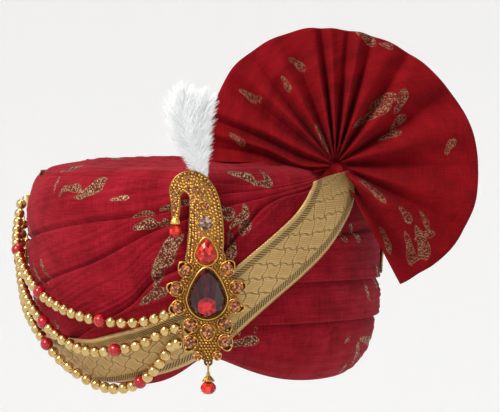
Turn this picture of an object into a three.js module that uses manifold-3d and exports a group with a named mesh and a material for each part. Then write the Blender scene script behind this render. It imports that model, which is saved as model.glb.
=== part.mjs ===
// A ready-tied wedding turban: a padded cap wound with pleated cloth, a brocade border that sweeps
// across the front, a pleated cloth fan, and a jewelled plume brooch with three swags of beads.
// Millimetres. X to the viewer's right, Y to the back, Z up. The origin is the middle of the head
// opening, level with the lowest stretch of the rim. The wearer faces -Y.
import * as THREE from "three";
import Module from "manifold-3d";
import { mergeVertices } from "three/addons/utils/BufferGeometryUtils.js";

const wasm = await Module();
wasm.setup();

// Driving dimensions
const BODY = { halfWidth: 122, halfDepth: 138, height: 143, sideLean: 6 };
const HEAD = { halfWidth: 80, halfDepth: 98, height: 138 };
const CROWN = { domeTop: 147, rimLift: 3 };
const NOTCH = { rise: 21, leftWidth: 10, rightWidth: 17, reach: 70, sharpness: 1.5 };
const WRAP = { thickness: 5, bulge: 4, edgeGap: 0.8, backGap: 1.3, shoulderGap: 1.4, least: 0.9, slack: 0.7 };
const BORDER = { width: 34, thickness: 1.8, lift: 1.2, endLift: 2.2, start: 168, end: 366 };
const BACK_BORDER = { width: 30, thickness: 1.6, lift: 1.6, endLift: 0, start: 44, end: 222 };
const FLAT = { margin: 3, rise: 15 };
const FAN = { radius: 96, thickness: 2, pleatDepth: 5.5, mouth: 4.5, lean: 0.24, push: 9 };
const HUB = { across: 0.713, forward: 0.609, above: 1.7 };
const BROOCH = { x: 3.7, up: 0.459, plate: 2.2, cup: 3.6, seatGap: 0.35, pinGap: 0.35 };
const STONE = { height: 2.6, mainHeight: 5, tableShare: 0.6 };
const DROP = { hole: 1.3, wire: 0.7, lug: 2.9, hang: 16, beadRadius: 5.1, capHeight: 4 };
const BEAD = { gold: 3.7, red: 4.4, thread: 0.9, space: 0.7 };
const PLUME = { height: 68, spread: 14.5, drift: -9, root: 4.2, thickness: 9, behind: -2.9 };
const PIN = { radius: 1.1, length: 34, x: -2, y: 42 };
const HOOK = { sides: 6, radius: 1.6, rise: 1.2, behind: 0.3, clear: 0.4 };

// How finely the round shapes are cut: long steps round the back, short ones across the front.
const BACK_STEPS = 15;
const FRONT_STEP = 7;
const FRONT_START = 255;
const BEAD_SIDES = 10;

const deg = Math.PI / 180;
const mix = (a, b, s) => a + (b - a) * s;
const clamp = (x, lo, hi) => Math.min(hi, Math.max(lo, x));
const ease = (x) => x * x * (3 - 2 * x);

// A smooth curve through a table's rows that never overshoots them (monotone cubic).
function curve(rows, from, to) {
  const x = rows.map((row) => row[from]);
  const y = rows.map((row) => row[to]);
  const last = x.length - 1;
  const rise = x.slice(1).map((v, i) => (y[i + 1] - y[i]) / (v - x[i]));
  const slope = x.map((v, i) => {
    if (i === 0) return rise[0];
    if (i === last) return rise[last - 1];
    return rise[i - 1] * rise[i] <= 0 ? 0 : (2 * rise[i - 1] * rise[i]) / (rise[i - 1] + rise[i]);
  });
  return (at) => {
    const v = clamp(at, x[0], x[last]);
    let i = 0;
    while (i < last - 1 && v > x[i + 1]) i += 1;
    const span = x[i + 1] - x[i];
    const s = (v - x[i]) / span;
    const a = y[i] * (1 + 2 * s) * (1 - s) ** 2 + y[i + 1] * s * s * (3 - 2 * s);
    return a + span * (slope[i] * s * (1 - s) ** 2 - slope[i + 1] * s * s * (1 - s));
  };
}

// Outline of the wound body: share of its height, share of its half width and half depth.
const bodyOut = curve(
  [
    { up: 0, out: 0.79 },
    { up: 0.04, out: 0.845 },
    { up: 0.14, out: 0.915 },
    { up: 0.28, out: 0.96 },
    { up: 0.45, out: 0.985 },
    { up: 0.63, out: 1 },
    { up: 0.78, out: 0.99 },
    { up: 0.88, out: 0.96 },
    { up: 0.95, out: 0.9 },
    { up: 0.985, out: 0.82 },
    { up: 1, out: 0.72 },
  ],
  "up",
  "out",
);

// Inside of the cap: share of the hollow's height, share of its half width and half depth.
const HOLLOW = [
  { up: 0, out: 1 },
  { up: 0.6, out: 0.94 },
  { up: 0.9, out: 0.62 },
];

// The front edge lifts over the forehead. Turns are degrees from the front, positive to the right.
function notch(turn) {
  const width = turn < 0 ? NOTCH.leftWidth : NOTCH.rightWidth;
  return NOTCH.rise * 0.5 ** (Math.abs(turn / width) ** NOTCH.sharpness);
}

const wrapTurn = (turn) => ((((turn + 180) % 360) + 360) % 360) - 180;

// Height before the notch lifts the rim, from the real height z at a turn.
function levelHeight(turn, z) {
  const lift = notch(wrapTurn(turn));
  const reach = NOTCH.reach;
  if (lift < 1e-6 || z >= reach) return z;
  const a = lift / reach ** 2;
  const b = 1 - (2 * lift) / reach;
  return (-b + Math.sqrt(Math.max(b * b - 4 * a * (lift - z), 0))) / (2 * a);
}

// A point of the body's surface at a turn and real height, moved out along its normal.
function onBody(turn, z, off = 0) {
  const level = clamp(levelHeight(turn, z), 0, BODY.height);
  const step = 0.5;
  const low = Math.max(level - step, 0);
  const high = Math.min(level + step, BODY.height);
  const out = bodyOut(level / BODY.height);
  const flare = ((bodyOut(high / BODY.height) - bodyOut(low / BODY.height)) * BODY.halfWidth) / (high - low);
  const tilt = Math.atan(-flare);
  const a = turn * deg;
  const side = BODY.sideLean * (0.5 - level / BODY.height);
  const push = off * Math.cos(tilt);
  return new THREE.Vector3(
    side + (BODY.halfWidth * out + push) * Math.sin(a),
    -(BODY.halfDepth * out + push) * Math.cos(a),
    z + off * Math.sin(tilt),
  );
}

// A point level with a height, straight out from the body's surface.
function besideBody(turn, z, off) {
  const level = clamp(levelHeight(turn, z), 0, BODY.height);
  const out = bodyOut(level / BODY.height);
  const side = BODY.sideLean * (0.5 - level / BODY.height);
  const a = turn * deg;
  return new THREE.Vector3(
    side + (BODY.halfWidth * out + off) * Math.sin(a),
    -(BODY.halfDepth * out + off) * Math.cos(a),
    z,
  );
}

// A closed solid through equal sections, each a closed polygon of points. It closes on itself as a
// ring, or its two ends are capped. The two faces of a pleated shell are split along the same
// diagonals, so that its wall stays even.
function loft(sections, ring, pleated = false) {
  const n = sections[0].length;
  const position = sections.flat().flatMap((p) => [p.x, p.y, p.z]);
  const index = [];
  const count = ring ? sections.length : sections.length - 1;
  for (let i = 0; i < count; i += 1) {
    const here = i * n;
    const next = ((i + 1) % sections.length) * n;
    for (let j = 0; j < n; j += 1) {
      const k = (j + 1) % n;
      if (pleated && j >= n / 2) index.push(here + j, next + j, here + k, next + j, next + k, here + k);
      else index.push(here + j, next + j, next + k, here + j, next + k, here + k);
    }
  }
  if (!ring) {
    const last = (sections.length - 1) * n;
    capTriangles(sections[0]).forEach(([a, b, c]) => index.push(a, b, c));
    capTriangles(sections.at(-1)).forEach(([a, b, c]) => index.push(last + a, last + c, last + b));
  }
  return outward(position, index);
}

// Triangles of a nearly flat polygon, found in its own plane.
function capTriangles(points) {
  const centre = points.reduce((sum, p) => sum.add(p), new THREE.Vector3()).divideScalar(points.length);
  const normal = new THREE.Vector3();
  points.forEach((p, i) => {
    const q = points[(i + 1) % points.length];
    normal.add(p.clone().sub(centre).cross(q.clone().sub(centre)));
  });
  normal.normalize();
  const u = points[0].clone().sub(centre).projectOnPlane(normal).normalize();
  const v = normal.clone().cross(u);
  const flat = points.map((p) => {
    const d = p.clone().sub(centre);
    return new THREE.Vector2(d.dot(u), d.dot(v));
  });
  return THREE.ShapeUtils.triangulateShape(flat, []);
}

// A geometry from positions and triangles, turned so that its faces point out.
function outward(position, index) {
  let volume = 0;
  const at = (i) => new THREE.Vector3(position[3 * i], position[3 * i + 1], position[3 * i + 2]);
  for (let i = 0; i < index.length; i += 3) {
    volume += at(index[i]).dot(at(index[i + 1]).cross(at(index[i + 2])));
  }
  const faces = volume < 0 ? index.slice().reverse() : index;
  const geometry = new THREE.BufferGeometry();
  geometry.setAttribute("position", new THREE.Float32BufferAttribute(position, 3));
  geometry.setIndex(faces);
  return geometry;
}

// A closed geometry as a solid for joining and cutting, and back again.
function solid(geometry) {
  const bare = geometry.clone();
  bare.deleteAttribute("normal");
  bare.deleteAttribute("uv");
  const merged = mergeVertices(bare, 1e-4);
  return new wasm.Manifold(
    new wasm.Mesh({
      numProp: 3,
      vertProperties: new Float32Array(merged.attributes.position.array),
      triVerts: new Uint32Array(merged.index.array),
    }),
  );
}

function geometryOf(made) {
  const mesh = made.getMesh();
  const geometry = new THREE.BufferGeometry();
  const position = [];
  for (let i = 0; i < mesh.numVert; i += 1) {
    position.push(...mesh.vertProperties.subarray(i * mesh.numProp, i * mesh.numProp + 3));
  }
  geometry.setAttribute("position", new THREE.Float32BufferAttribute(position, 3));
  geometry.setIndex([...mesh.triVerts]);
  return geometry;
}

const joined = (geometries) => geometryOf(geometries.map(solid).reduce((a, b) => a.add(b)));

// Finishes
const finish = (color, roughness, metalness = 0) =>
  new THREE.MeshStandardMaterial({ color, roughness, metalness, flatShading: true });
const CRIMSON = finish(0x9e1428, 0.85);
const BROCADE = finish(0xb99a52, 0.45, 0.3);
const GOLD = finish(0xd2a446, 0.28, 1);
const BEAD_GOLD = finish(0xe6cf86, 0.18, 1);
const AMBER = finish(0xb06a34, 0.08);
const RED_GLASS = finish(0xc81414, 0.06);
const GARNET = finish(0x3c0408, 0.05);
const ROSE = finish(0x9a6a5a, 0.08);
const FEATHER = finish(0xf3f3f2, 0.95);

const turban = new THREE.Group();

function add(name, geometry, material, parent = turban) {
  const mesh = new THREE.Mesh(geometry, material);
  mesh.name = name;
  parent.add(mesh);
  return mesh;
}

// Fold lines. A turn of 0 is the hub of the fan; it grows to the right, round the back and on to the
// left and the front, so 360 is the hub again. Heights are shares of the body's height.
const HUB_TURN = 45;

// The turns at which every section round the body is taken, from a start to the hub.
function stations(start = 0) {
  const turns = [];
  for (let turn = start; turn < 0; turn += FRONT_STEP) turns.push(turn);
  for (let i = 0; i < BACK_STEPS; i += 1) turns.push((FRONT_START * i) / BACK_STEPS);
  for (let turn = FRONT_START; turn <= 360; turn += FRONT_STEP) turns.push(turn);
  return turns;
}

const ROUND = stations().slice(0, -1);
const fold = (rows) => {
  const height = curve(rows, "turn", "up");
  return (turn) => height(turn) * BODY.height;
};

const TOP_FOLD = fold([
  { turn: 0, up: 0.965 },
  { turn: 45, up: 0.945 },
  { turn: 135, up: 0.925 },
  { turn: 225, up: 0.94 },
  { turn: 290, up: 0.957 },
  { turn: 315, up: 0.944 },
  { turn: 341, up: 0.925 },
  { turn: 352, up: 0.945 },
  { turn: 360, up: 0.965 },
]);

const UPPER_FOLD = fold([
  { turn: -12, up: 0.685 },
  { turn: 35, up: 0.692 },
  { turn: 80, up: 0.678 },
  { turn: 135, up: 0.643 },
  { turn: 185, up: 0.602 },
  { turn: 225, up: 0.619 },
  { turn: 237, up: 0.636 },
  { turn: 255, up: 0.692 },
  { turn: 280, up: 0.755 },
  { turn: 303, up: 0.804 },
  { turn: 320, up: 0.888 },
  { turn: 341, up: 0.914 },
  { turn: 360, up: 0.953 },
]);

const MIDDLE_FOLD = fold([
  { turn: -30, up: 0.475 },
  { turn: -8, up: 0.479 },
  { turn: 35, up: 0.451 },
  { turn: 80, up: 0.434 },
  { turn: 135, up: 0.399 },
  { turn: 180, up: 0.357 },
  { turn: 215, up: 0.35 },
  { turn: 242, up: 0.413 },
  { turn: 263, up: 0.497 },
  { turn: 280, up: 0.573 },
  { turn: 303, up: 0.734 },
  { turn: 325, up: 0.839 },
  { turn: 343, up: 0.895 },
  { turn: 360, up: 0.942 },
]);

const LOWER_FOLD = fold([
  { turn: -48, up: 0.28 },
  { turn: -22, up: 0.294 },
  { turn: 35, up: 0.269 },
  { turn: 80, up: 0.252 },
  { turn: 135, up: 0.224 },
  { turn: 180, up: 0.175 },
  { turn: 225, up: 0.12 },
]);

const GUSSET_FOLD = fold([
  { turn: 258, up: 0.15 },
  { turn: 275, up: 0.266 },
  { turn: 292, up: 0.385 },
  { turn: 301, up: 0.504 },
  { turn: 320, up: 0.622 },
  { turn: 328, up: 0.727 },
  { turn: 335, up: 0.825 },
  { turn: 342, up: 0.872 },
  { turn: 351, up: 0.9 },
  { turn: 360, up: 0.933 },
]);

const BORDER_LINE = fold([
  { turn: 150, up: 0.15 },
  { turn: 225, up: 0.112 },
  { turn: 255, up: 0.095 },
  { turn: 274, up: 0.105 },
  { turn: 289, up: 0.15 },
  { turn: 298, up: 0.185 },
  { turn: 305.5, up: 0.227 },
  { turn: 317, up: 0.322 },
  { turn: 326.5, up: 0.434 },
  { turn: 335, up: 0.531 },
  { turn: 343, up: 0.62 },
  { turn: 351, up: 0.715 },
  { turn: 360, up: 0.85 },
  { turn: 366, up: 0.945 },
  { turn: 367, up: 0.96 },
]);

// The border that ends high on the right and runs round the back to the left.
const BACK_LINE = fold([
  { turn: 40, up: 0.56 },
  { turn: 90, up: 0.62 },
  { turn: 150, up: 0.75 },
  { turn: 200, up: 0.85 },
  { turn: 226, up: 0.87 },
]);

// The cloth lies flat under both borders and swells to its full bulge a little way off them.
const BORDER_MARKS = [
  [BORDER_LINE, BORDER],
  [BACK_LINE, BACK_BORDER],
].flatMap(([line, { start, end, width }]) =>
  Array.from({ length: 60 }, (unused, i) => {
    const turn = mix(start, end, i / 59);
    return { turn, z: line(turn), half: width / 2 };
  }),
);

function swell(turn, z) {
  const perDegree = deg * 128;
  const away = BORDER_MARKS.map((mark) => {
    const across = wrapTurn(turn - mark.turn) * perDegree;
    return Math.hypot(across, z - mark.z) - mark.half;
  });
  return ease(clamp((Math.min(...away) - FLAT.margin) / FLAT.rise, 0, 1));
}

// One section of a wound turn of cloth: proud and rounded at its folded upper edge, thin below.
const FOLD_SHAPE = [
  { across: 0, bulge: 0 },
  { across: 0.35, bulge: 0.62 },
  { across: 0.8, bulge: 1 },
  { across: 1, bulge: 0.7 },
];

function wrapSection(turn, low, high, backPoints) {
  const angle = turn + HUB_TURN;
  const tall = high - low;
  const share = clamp(tall / 20, 0.25, 1);
  const points = FOLD_SHAPE.map(({ across, bulge }) => {
    const z = mix(low, high, across);
    return onBody(angle, z, bulge * WRAP.bulge * share * swell(turn, z));
  });
  for (let i = backPoints - 1; i >= 0; i -= 1) {
    const z = mix(low, high, i / (backPoints - 1));
    points.push(onBody(angle, z, -WRAP.thickness));
  }
  return points;
}

// A turn of cloth between two fold lines, from one turn to another.
function wrapStrip(turns, lowAt, highAt, backPoints = 2) {
  const sections = turns.map((turn) => {
    const low = lowAt(turn) + WRAP.edgeGap / 2;
    const high = Math.max(highAt(turn) - WRAP.edgeGap / 2, low + WRAP.least);
    return wrapSection(turn, low, high, backPoints);
  });
  return loft(sections, false);
}

// Under the border's line, where the lower turns start, and above it, where the upper ones end.
const borderAbove = (turn) => (turn < 0 ? BORDER_LINE(turn + 360) : Infinity);
const borderBelow = (turn) => (turn > 225 ? BORDER_LINE(turn) : -Infinity);

// Beside the hub the second turn's top follows the border's end up to the fold under the first turn.
function upperTop(turn) {
  if (turn < 0) return borderAbove(turn);
  if (turn < FRONT_STEP) return BORDER_LINE(360);
  return TOP_FOLD(turn);
}

function makeWraps() {
  add("wrap_2_upper", wrapStrip(stations(-FRONT_STEP), UPPER_FOLD, upperTop, 4), CRIMSON);
  const middleTop = (turn) => Math.min(UPPER_FOLD(turn), borderAbove(turn));
  add("wrap_3_middle", wrapStrip(stations(-4 * FRONT_STEP), MIDDLE_FOLD, middleTop), CRIMSON);
  const lowerFoot = (turn) => (turn > 250 ? Math.max(GUSSET_FOLD(turn), borderBelow(turn)) : lowTurnLine(turn));
  const lowerTop = (turn) => Math.min(MIDDLE_FOLD(turn), borderAbove(turn));
  add("wrap_4_lower", wrapStrip(stations(-6 * FRONT_STEP), lowerFoot, lowerTop, 3), CRIMSON);
  const gussetTurns = stations().filter((turn) => turn > FRONT_START + 1);
  add("wrap_gusset", wrapStrip(gussetTurns, borderBelow, GUSSET_FOLD, 3), CRIMSON);
  add("wrap_5_rim", rimWrap(), CRIMSON);
  add("wrap_1_top", topWrap(), CRIMSON);
}

// Where the lowest turn meets the one above it: the lower fold, then the border's line at the front.
function lowTurnLine(turn) {
  if (turn < 0) return Math.min(LOWER_FOLD(turn), BORDER_LINE(turn + 360));
  if (turn <= 200) return LOWER_FOLD(turn);
  if (turn < 225) return mix(LOWER_FOLD(turn), BORDER_LINE(turn), ease((turn - 200) / 25));
  if (turn <= 315) return BORDER_LINE(turn);
  return Math.min(LOWER_FOLD(turn - 360), BORDER_LINE(turn));
}

const RIM_SHAPE = [
  { across: 0, bulge: 0.1 },
  { across: 0.15, bulge: 0.38 },
  { across: 1, bulge: 0.45 },
];

function rimWrap() {
  const sections = ROUND.map((turn) => {
    const angle = turn + HUB_TURN;
    const low = notch(wrapTurn(angle));
    const high = lowTurnLine(turn) - WRAP.edgeGap / 2;
    const outer = RIM_SHAPE.map(({ across, bulge }) => {
      const z = mix(low, high, across);
      return onBody(angle, z, bulge * WRAP.bulge * swell(turn, z));
    });
    const inner = [0.1, 0.45, 1].map((across) => onBody(angle, mix(low, high, across), -WRAP.thickness));
    return [...outer, ...inner.reverse()];
  });
  return loft(sections, true);
}

const TOP_SHAPE = [
  { across: 0, bulge: 0.1 },
  { across: 0.5, bulge: 0.55 },
  { across: 1, bulge: 0.5 },
];

function topWrap() {
  const top = BODY.height;
  const sections = ROUND.map((turn) => {
    const angle = turn + HUB_TURN;
    const low = TOP_FOLD(turn) + WRAP.edgeGap / 2;
    const outer = TOP_SHAPE.map(({ across, bulge }) => {
      const z = mix(low, top, across);
      return onBody(angle, z, bulge * WRAP.bulge * swell(turn, z));
    });
    const inner = [top, low].map((z) => onBody(angle, z, -WRAP.thickness));
    return [...outer, ...inner];
  });
  return loft(sections, true);
}

// The padded cap: the crown shows on top, the head goes in from below, and the turns are wound on it.
function capSolid() {
  const outerUps = [0.02, 0.14, 0.4, 0.75, 0.93, 1];
  const backAt = (up) => -(WRAP.thickness + WRAP.backGap + WRAP.shoulderGap * ease(clamp((up - 0.5) / 0.25, 0, 1)));
  const dome = [
    { out: 0.58, up: 0 },
    { out: 0.3, up: 0.75 },
  ];
  const position = [];
  const ringOf = [];
  const pushRing = (pointAt) => {
    const start = position.length / 3;
    ROUND.forEach((turn) => {
      const p = pointAt(turn + HUB_TURN);
      position.push(p.x, p.y, p.z);
    });
    ringOf.push(start);
  };
  const rimTop = onBody(90, BODY.height, backAt(1)).z;
  const hollowPoint = (turn, { up, out }) => {
    const lift = notch(wrapTurn(turn)) * (1 - up) ** 3;
    const z = mix(CROWN.rimLift + lift, HEAD.height, up);
    return new THREE.Vector3(HEAD.halfWidth * out * Math.sin(turn * deg), -HEAD.halfDepth * out * Math.cos(turn * deg), z);
  };
  HOLLOW.slice().reverse().forEach((row) => pushRing((turn) => hollowPoint(turn, row)));
  outerUps.forEach((up) =>
    pushRing((turn) => {
      const low = notch(wrapTurn(turn)) + CROWN.rimLift;
      return onBody(turn, mix(low, BODY.height, up), backAt(up));
    }),
  );
  dome.forEach(({ out, up }) =>
    pushRing(
      (turn) =>
        new THREE.Vector3(
          BODY.halfWidth * out * Math.sin(turn * deg) - BODY.sideLean / 2,
          -BODY.halfDepth * out * Math.cos(turn * deg),
          mix(rimTop, CROWN.domeTop, up),
        ),
    ),
  );
  const insidePole = position.length / 3;
  position.push(0, 0, HEAD.height);
  const topPole = insidePole + 1;
  position.push(-BODY.sideLean / 2, 0, CROWN.domeTop);
  const index = [];
  for (let i = 0; i < ROUND.length; i += 1) {
    const k = (i + 1) % ROUND.length;
    index.push(insidePole, ringOf[0] + i, ringOf[0] + k);
    index.push(topPole, ringOf.at(-1) + k, ringOf.at(-1) + i);
    for (let r = 0; r + 1 < ringOf.length; r += 1) {
      const a = ringOf[r];
      const b = ringOf[r + 1];
      index.push(a + i, b + i, b + k, a + i, b + k, a + k);
    }
  }
  return outward(position, index);
}

// A flat ribbon laid on the body along a line of turns and heights.
// Its last stretch stands a little prouder.
function ribbon(line, { start, end, width, thickness, lift, endLift }, steps) {
  const sections = [];
  for (let i = 0; i <= steps; i += 1) {
    const turn = mix(start, end, i / steps);
    const z = line(turn);
    const here = onBody(turn + HUB_TURN, z);
    const ahead = onBody(turn + HUB_TURN + 0.5, line(turn + 0.5));
    const up = onBody(turn + HUB_TURN, z + 0.5).sub(here).normalize();
    const along = ahead.sub(here).normalize();
    const side = onBody(turn + HUB_TURN + 0.5, z).sub(here).normalize();
    const lean = along.dot(side);
    const climb = Math.sqrt(Math.max(0, 1 - lean * lean)) * Math.sign(along.dot(up));
    const edge = (across, off) => {
      const sideways = (-climb * across) / (onBody(turn + HUB_TURN + 1, z).distanceTo(here) || 1);
      const height = surfaceClimb(turn + HUB_TURN + sideways, z, lean * across);
      return onBody(turn + HUB_TURN + sideways, height, off);
    };
    const half = width / 2;
    const under = lift + endLift * ease(clamp((turn - end + 22) / 16, 0, 1));
    const outer = [-half, 0, half].map((across) => edge(across, under + thickness));
    const inner = [half, 0, -half].map((across) => edge(across, under));
    sections.push([...outer, ...inner]);
  }
  return loft(sections, false);
}

// The height reached by going a distance up (or down) the surface from a height.
function surfaceClimb(turn, z, distance) {
  const stride = 1;
  const stop = Math.abs(distance);
  const way = Math.sign(distance);
  let height = z;
  let gone = 0;
  while (gone < stop) {
    const next = clamp(height + way * stride, notch(wrapTurn(turn)) + 0.5, BODY.height - 0.5);
    const length = onBody(turn, next).distanceTo(onBody(turn, height));
    if (length < 1e-6) return height;
    if (gone + length > stop) return mix(height, next, (stop - gone) / length);
    gone += length;
    height = next;
  }
  return height;
}

const BORDER_STEPS = { front: 28, back: 14 };

function makeBorders() {
  add("border_front", ribbon(BORDER_LINE, BORDER, BORDER_STEPS.front), BROCADE);
  add("border_back", ribbon(BACK_LINE, BACK_BORDER, BORDER_STEPS.back), BROCADE);
}

// The fan. Angles are degrees from the right, turning up and over to the left.
const FAN_RIDGES = [-61.5, -45, -22, -2, 20, 48, 66, 81, 91, 102, 119, 136, 156, 179];
const fanReach = curve(
  [
    { angle: -62, reach: 0.935 },
    { angle: -45, reach: 0.97 },
    { angle: -25, reach: 1.0 },
    { angle: 0, reach: 1.0 },
    { angle: 20, reach: 0.975 },
    { angle: 45, reach: 0.935 },
    { angle: 66, reach: 0.925 },
    { angle: 85, reach: 0.93 },
    { angle: 105, reach: 0.96 },
    { angle: 135, reach: 0.97 },
    { angle: 156, reach: 0.92 },
    { angle: 179, reach: 0.87 },
  ],
  "angle",
  "reach",
);

const fanDepth = curve(
  [
    { out: 0.08, depth: 0.45 },
    { out: 0.2, depth: 1 },
    { out: 0.4, depth: 0.95 },
    { out: 0.7, depth: 0.6 },
    { out: 1, depth: 0.4 },
  ],
  "out",
  "depth",
);

const FAN_OUTS = [0, 0.16, 0.5, 1];

// The fan's cloth at an angle and a share of its reach; phase is 1 on a ridge and -1 in a valley.
function fanPoint(angle, out, phase, off) {
  const r = mix(FAN.mouth, FAN.radius * fanReach(angle), out);
  const low = clamp((-angle - 5) / 40, 0, 1);
  const leanHere = FAN.lean * ease(clamp((angle + 30) / 60, 0, 1));
  const forward = FAN.push * ease(low) * Math.sin(Math.PI * clamp(out * 1.1, 0, 1));
  const depth = FAN.pleatDepth * fanDepth(out) * phase;
  return new THREE.Vector3(
    BODY.halfWidth * HUB.across + r * Math.cos(angle * deg),
    -BODY.halfDepth * HUB.forward + leanHere * r - forward - depth - off,
    BODY.height + HUB.above + r * Math.sin(angle * deg),
  );
}

function fanShell() {
  const angles = [];
  FAN_RIDGES.forEach((ridge, i) => {
    angles.push([ridge, 1]);
    if (i + 1 < FAN_RIDGES.length) angles.push([mix(ridge, FAN_RIDGES[i + 1], 0.5), -1]);
  });
  const half = FAN.thickness / 2;
  const sections = angles.map(([angle, phase]) => [
    ...FAN_OUTS.map((out) => fanPoint(angle, out, phase, half)),
    ...FAN_OUTS.toReversed().map((out) => fanPoint(angle, out, phase, -half)),
  ]);
  return loft(sections, false, true);
}

// The brooch lies in its own plane: x to the right, y up, z towards the viewer.
const brooch = new THREE.Group();
const standOff = WRAP.bulge + BROOCH.seatGap + 2 * PIN.radius + BROOCH.pinGap;
brooch.position.set(BROOCH.x, -(BODY.halfDepth + standOff - WRAP.slack), BROOCH.up * BODY.height);
brooch.rotation.x = 90 * deg;
turban.add(brooch);

// Round stones: place in the brooch's plane and radius of the stone.
const AMBER_STONES = [
  { x: -13.4, y: 14.1, r: 4 },
  { x: -19.6, y: 2.2, r: 4 },
  { x: -18.2, y: -9.6, r: 4 },
  { x: -10.4, y: -21, r: 4 },
  { x: -10.6, y: -31.8, r: 4 },
  { x: 0.4, y: -24.6, r: 4 },
  { x: 11, y: -20, r: 4 },
  { x: 11.4, y: -31.2, r: 4 },
  { x: 17.6, y: -8.6, r: 4 },
  { x: 18.8, y: 3.2, r: 4 },
  { x: 12.8, y: 14.8, r: 4 },
  { x: -1.8, y: 54.6, r: 2.8 },
  { x: -3.6, y: 63.4, r: 2.6 },
  { x: -5.8, y: -40.2, r: 2.1 },
  { x: 6.2, y: -40, r: 2.1 },
];
const ROSE_STONE = { x: -1, y: 44.2, r: 4.6 };
const RED_PEAR = { x: -0.6, y: 24, halfWidth: 6.8, up: 10.4, down: 6.4 };
const MAIN_PEAR = { x: 0, y: -3.6, halfWidth: 12.4, up: 19, down: 13 };
const CUP_RIM = 1.2;

const disc = (x, y, r, depth, sides) => {
  const g = new THREE.CylinderGeometry(r, r, depth, sides);
  g.rotateX(90 * deg);
  g.translate(x, y, depth / 2);
  return g;
};

// Half a pear's outline at a share of the way round: round below, drawn to a point above.
function pearOutline({ x, y, halfWidth, up, down }, grow, sides) {
  const points = [];
  for (let i = 0; i < sides; i += 1) {
    const a = (i / sides) * 2 * Math.PI;
    const s = Math.sin(a);
    const taper = s > 0 ? Math.cos(a) * (1 - 0.32 * s) : Math.cos(a);
    points.push(new THREE.Vector2(x + (halfWidth + grow) * taper, y + (s > 0 ? up + grow : down + grow) * s));
  }
  return points;
}

const plateOf = (points, depth) =>
  new THREE.ExtrudeGeometry(new THREE.Shape(points), { depth, bevelEnabled: false, steps: 1 });

// A cut stone: a flat back, a table on top, and facets between them along every side.
function cutStone(outline, centre, base, height) {
  const ring = (share, z, shift) =>
    outline.map((p, i) => {
      const q = outline[(i + 1) % outline.length];
      const at = shift ? p.clone().add(q).multiplyScalar(0.5) : p;
      return new THREE.Vector3(mix(centre.x, at.x, share), mix(centre.y, at.y, share), z);
    });
  return loft([ring(1, base, false), ring(STONE.tableShare, base + height, true)], false);
}

const circleOutline = ({ x, y, r }, sides) =>
  Array.from({ length: sides }, (unused, i) => {
    const a = ((i + 0.5) / sides) * 2 * Math.PI;
    return new THREE.Vector2(x + r * Math.cos(a), y + r * Math.sin(a));
  });

// The curled stem of the brooch: up the right side, over the top and down to the hooked tip.
const STEM = [
  [9.5, 19], [10.1, 36], [8.8, 52], [5.1, 65], [-0.6, 72.7], [-7.6, 76.4], [-15.2, 75.8], [-20.9, 71.4],
  [-23.4, 65.1], [-22.3, 56], [-21.9, 46.6], [-18.1, 46.6], [-17.2, 56], [-17, 61.5], [-14.3, 64],
  [-11.2, 61], [-10.7, 54], [-11.4, 40], [-13, 19],
];

// The plate behind the petals, with a corner under each petal's cup.
const BACKING = [
  [10.5, 26], [12.8, 14.8], [18.8, 3.2], [17.6, -8.6], [11, -20], [11.4, -31.2], [6.2, -40], [0.6, -44.4],
  [-5.8, -40.2], [-10.6, -31.8], [-10.4, -21], [-18.2, -9.6], [-19.6, 2.2], [-13.4, 14.1], [-13, 26],
];

function broochFrame() {
  const cup = (x, y, r, sides) => disc(x, y, r, BROOCH.cup, sides);
  const pieces = [
    plateOf(STEM.map(([x, y]) => new THREE.Vector2(x, y)), BROOCH.plate),
    plateOf(BACKING.map(([x, y]) => new THREE.Vector2(x, y)), BROOCH.plate - 0.2),
    plateOf(pearOutline(MAIN_PEAR, CUP_RIM, 14), BROOCH.cup),
    plateOf(pearOutline(RED_PEAR, CUP_RIM, 12), BROOCH.cup),
    cup(ROSE_STONE.x, ROSE_STONE.y, ROSE_STONE.r + CUP_RIM, 8),
    ...AMBER_STONES.map(({ x, y, r }) => cup(x, y, r + CUP_RIM, r < 3 ? 6 : 8)),
    tipCap(),
  ];
  const lug = disc(LUG.x, LUG.y, DROP.lug, LUG.depth, 12);
  const hole = disc(LUG.x, LUG.y, DROP.hole, LUG.depth * 3, 12);
  hole.translate(0, 0, -LUG.depth);
  const whole = [...pieces, lug].map(solid).reduce((a, b) => a.add(b));
  return geometryOf(whole.subtract(solid(hole)));
}

const LUG = { x: 0.6, y: -44.4, depth: 1.6 };
const TIP = { x: -20, y: 46.8, z: 2, cap: 4.4, bead: 4.3 };

// The cap over the bead that hangs from the hooked tip, a small cone opening downwards.
function tipCap() {
  const cone = new THREE.CylinderGeometry(1.6, 3.3, TIP.cap, 10);
  cone.translate(TIP.x, TIP.y - TIP.cap / 2 + 1, TIP.z);
  return cone;
}

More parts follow.
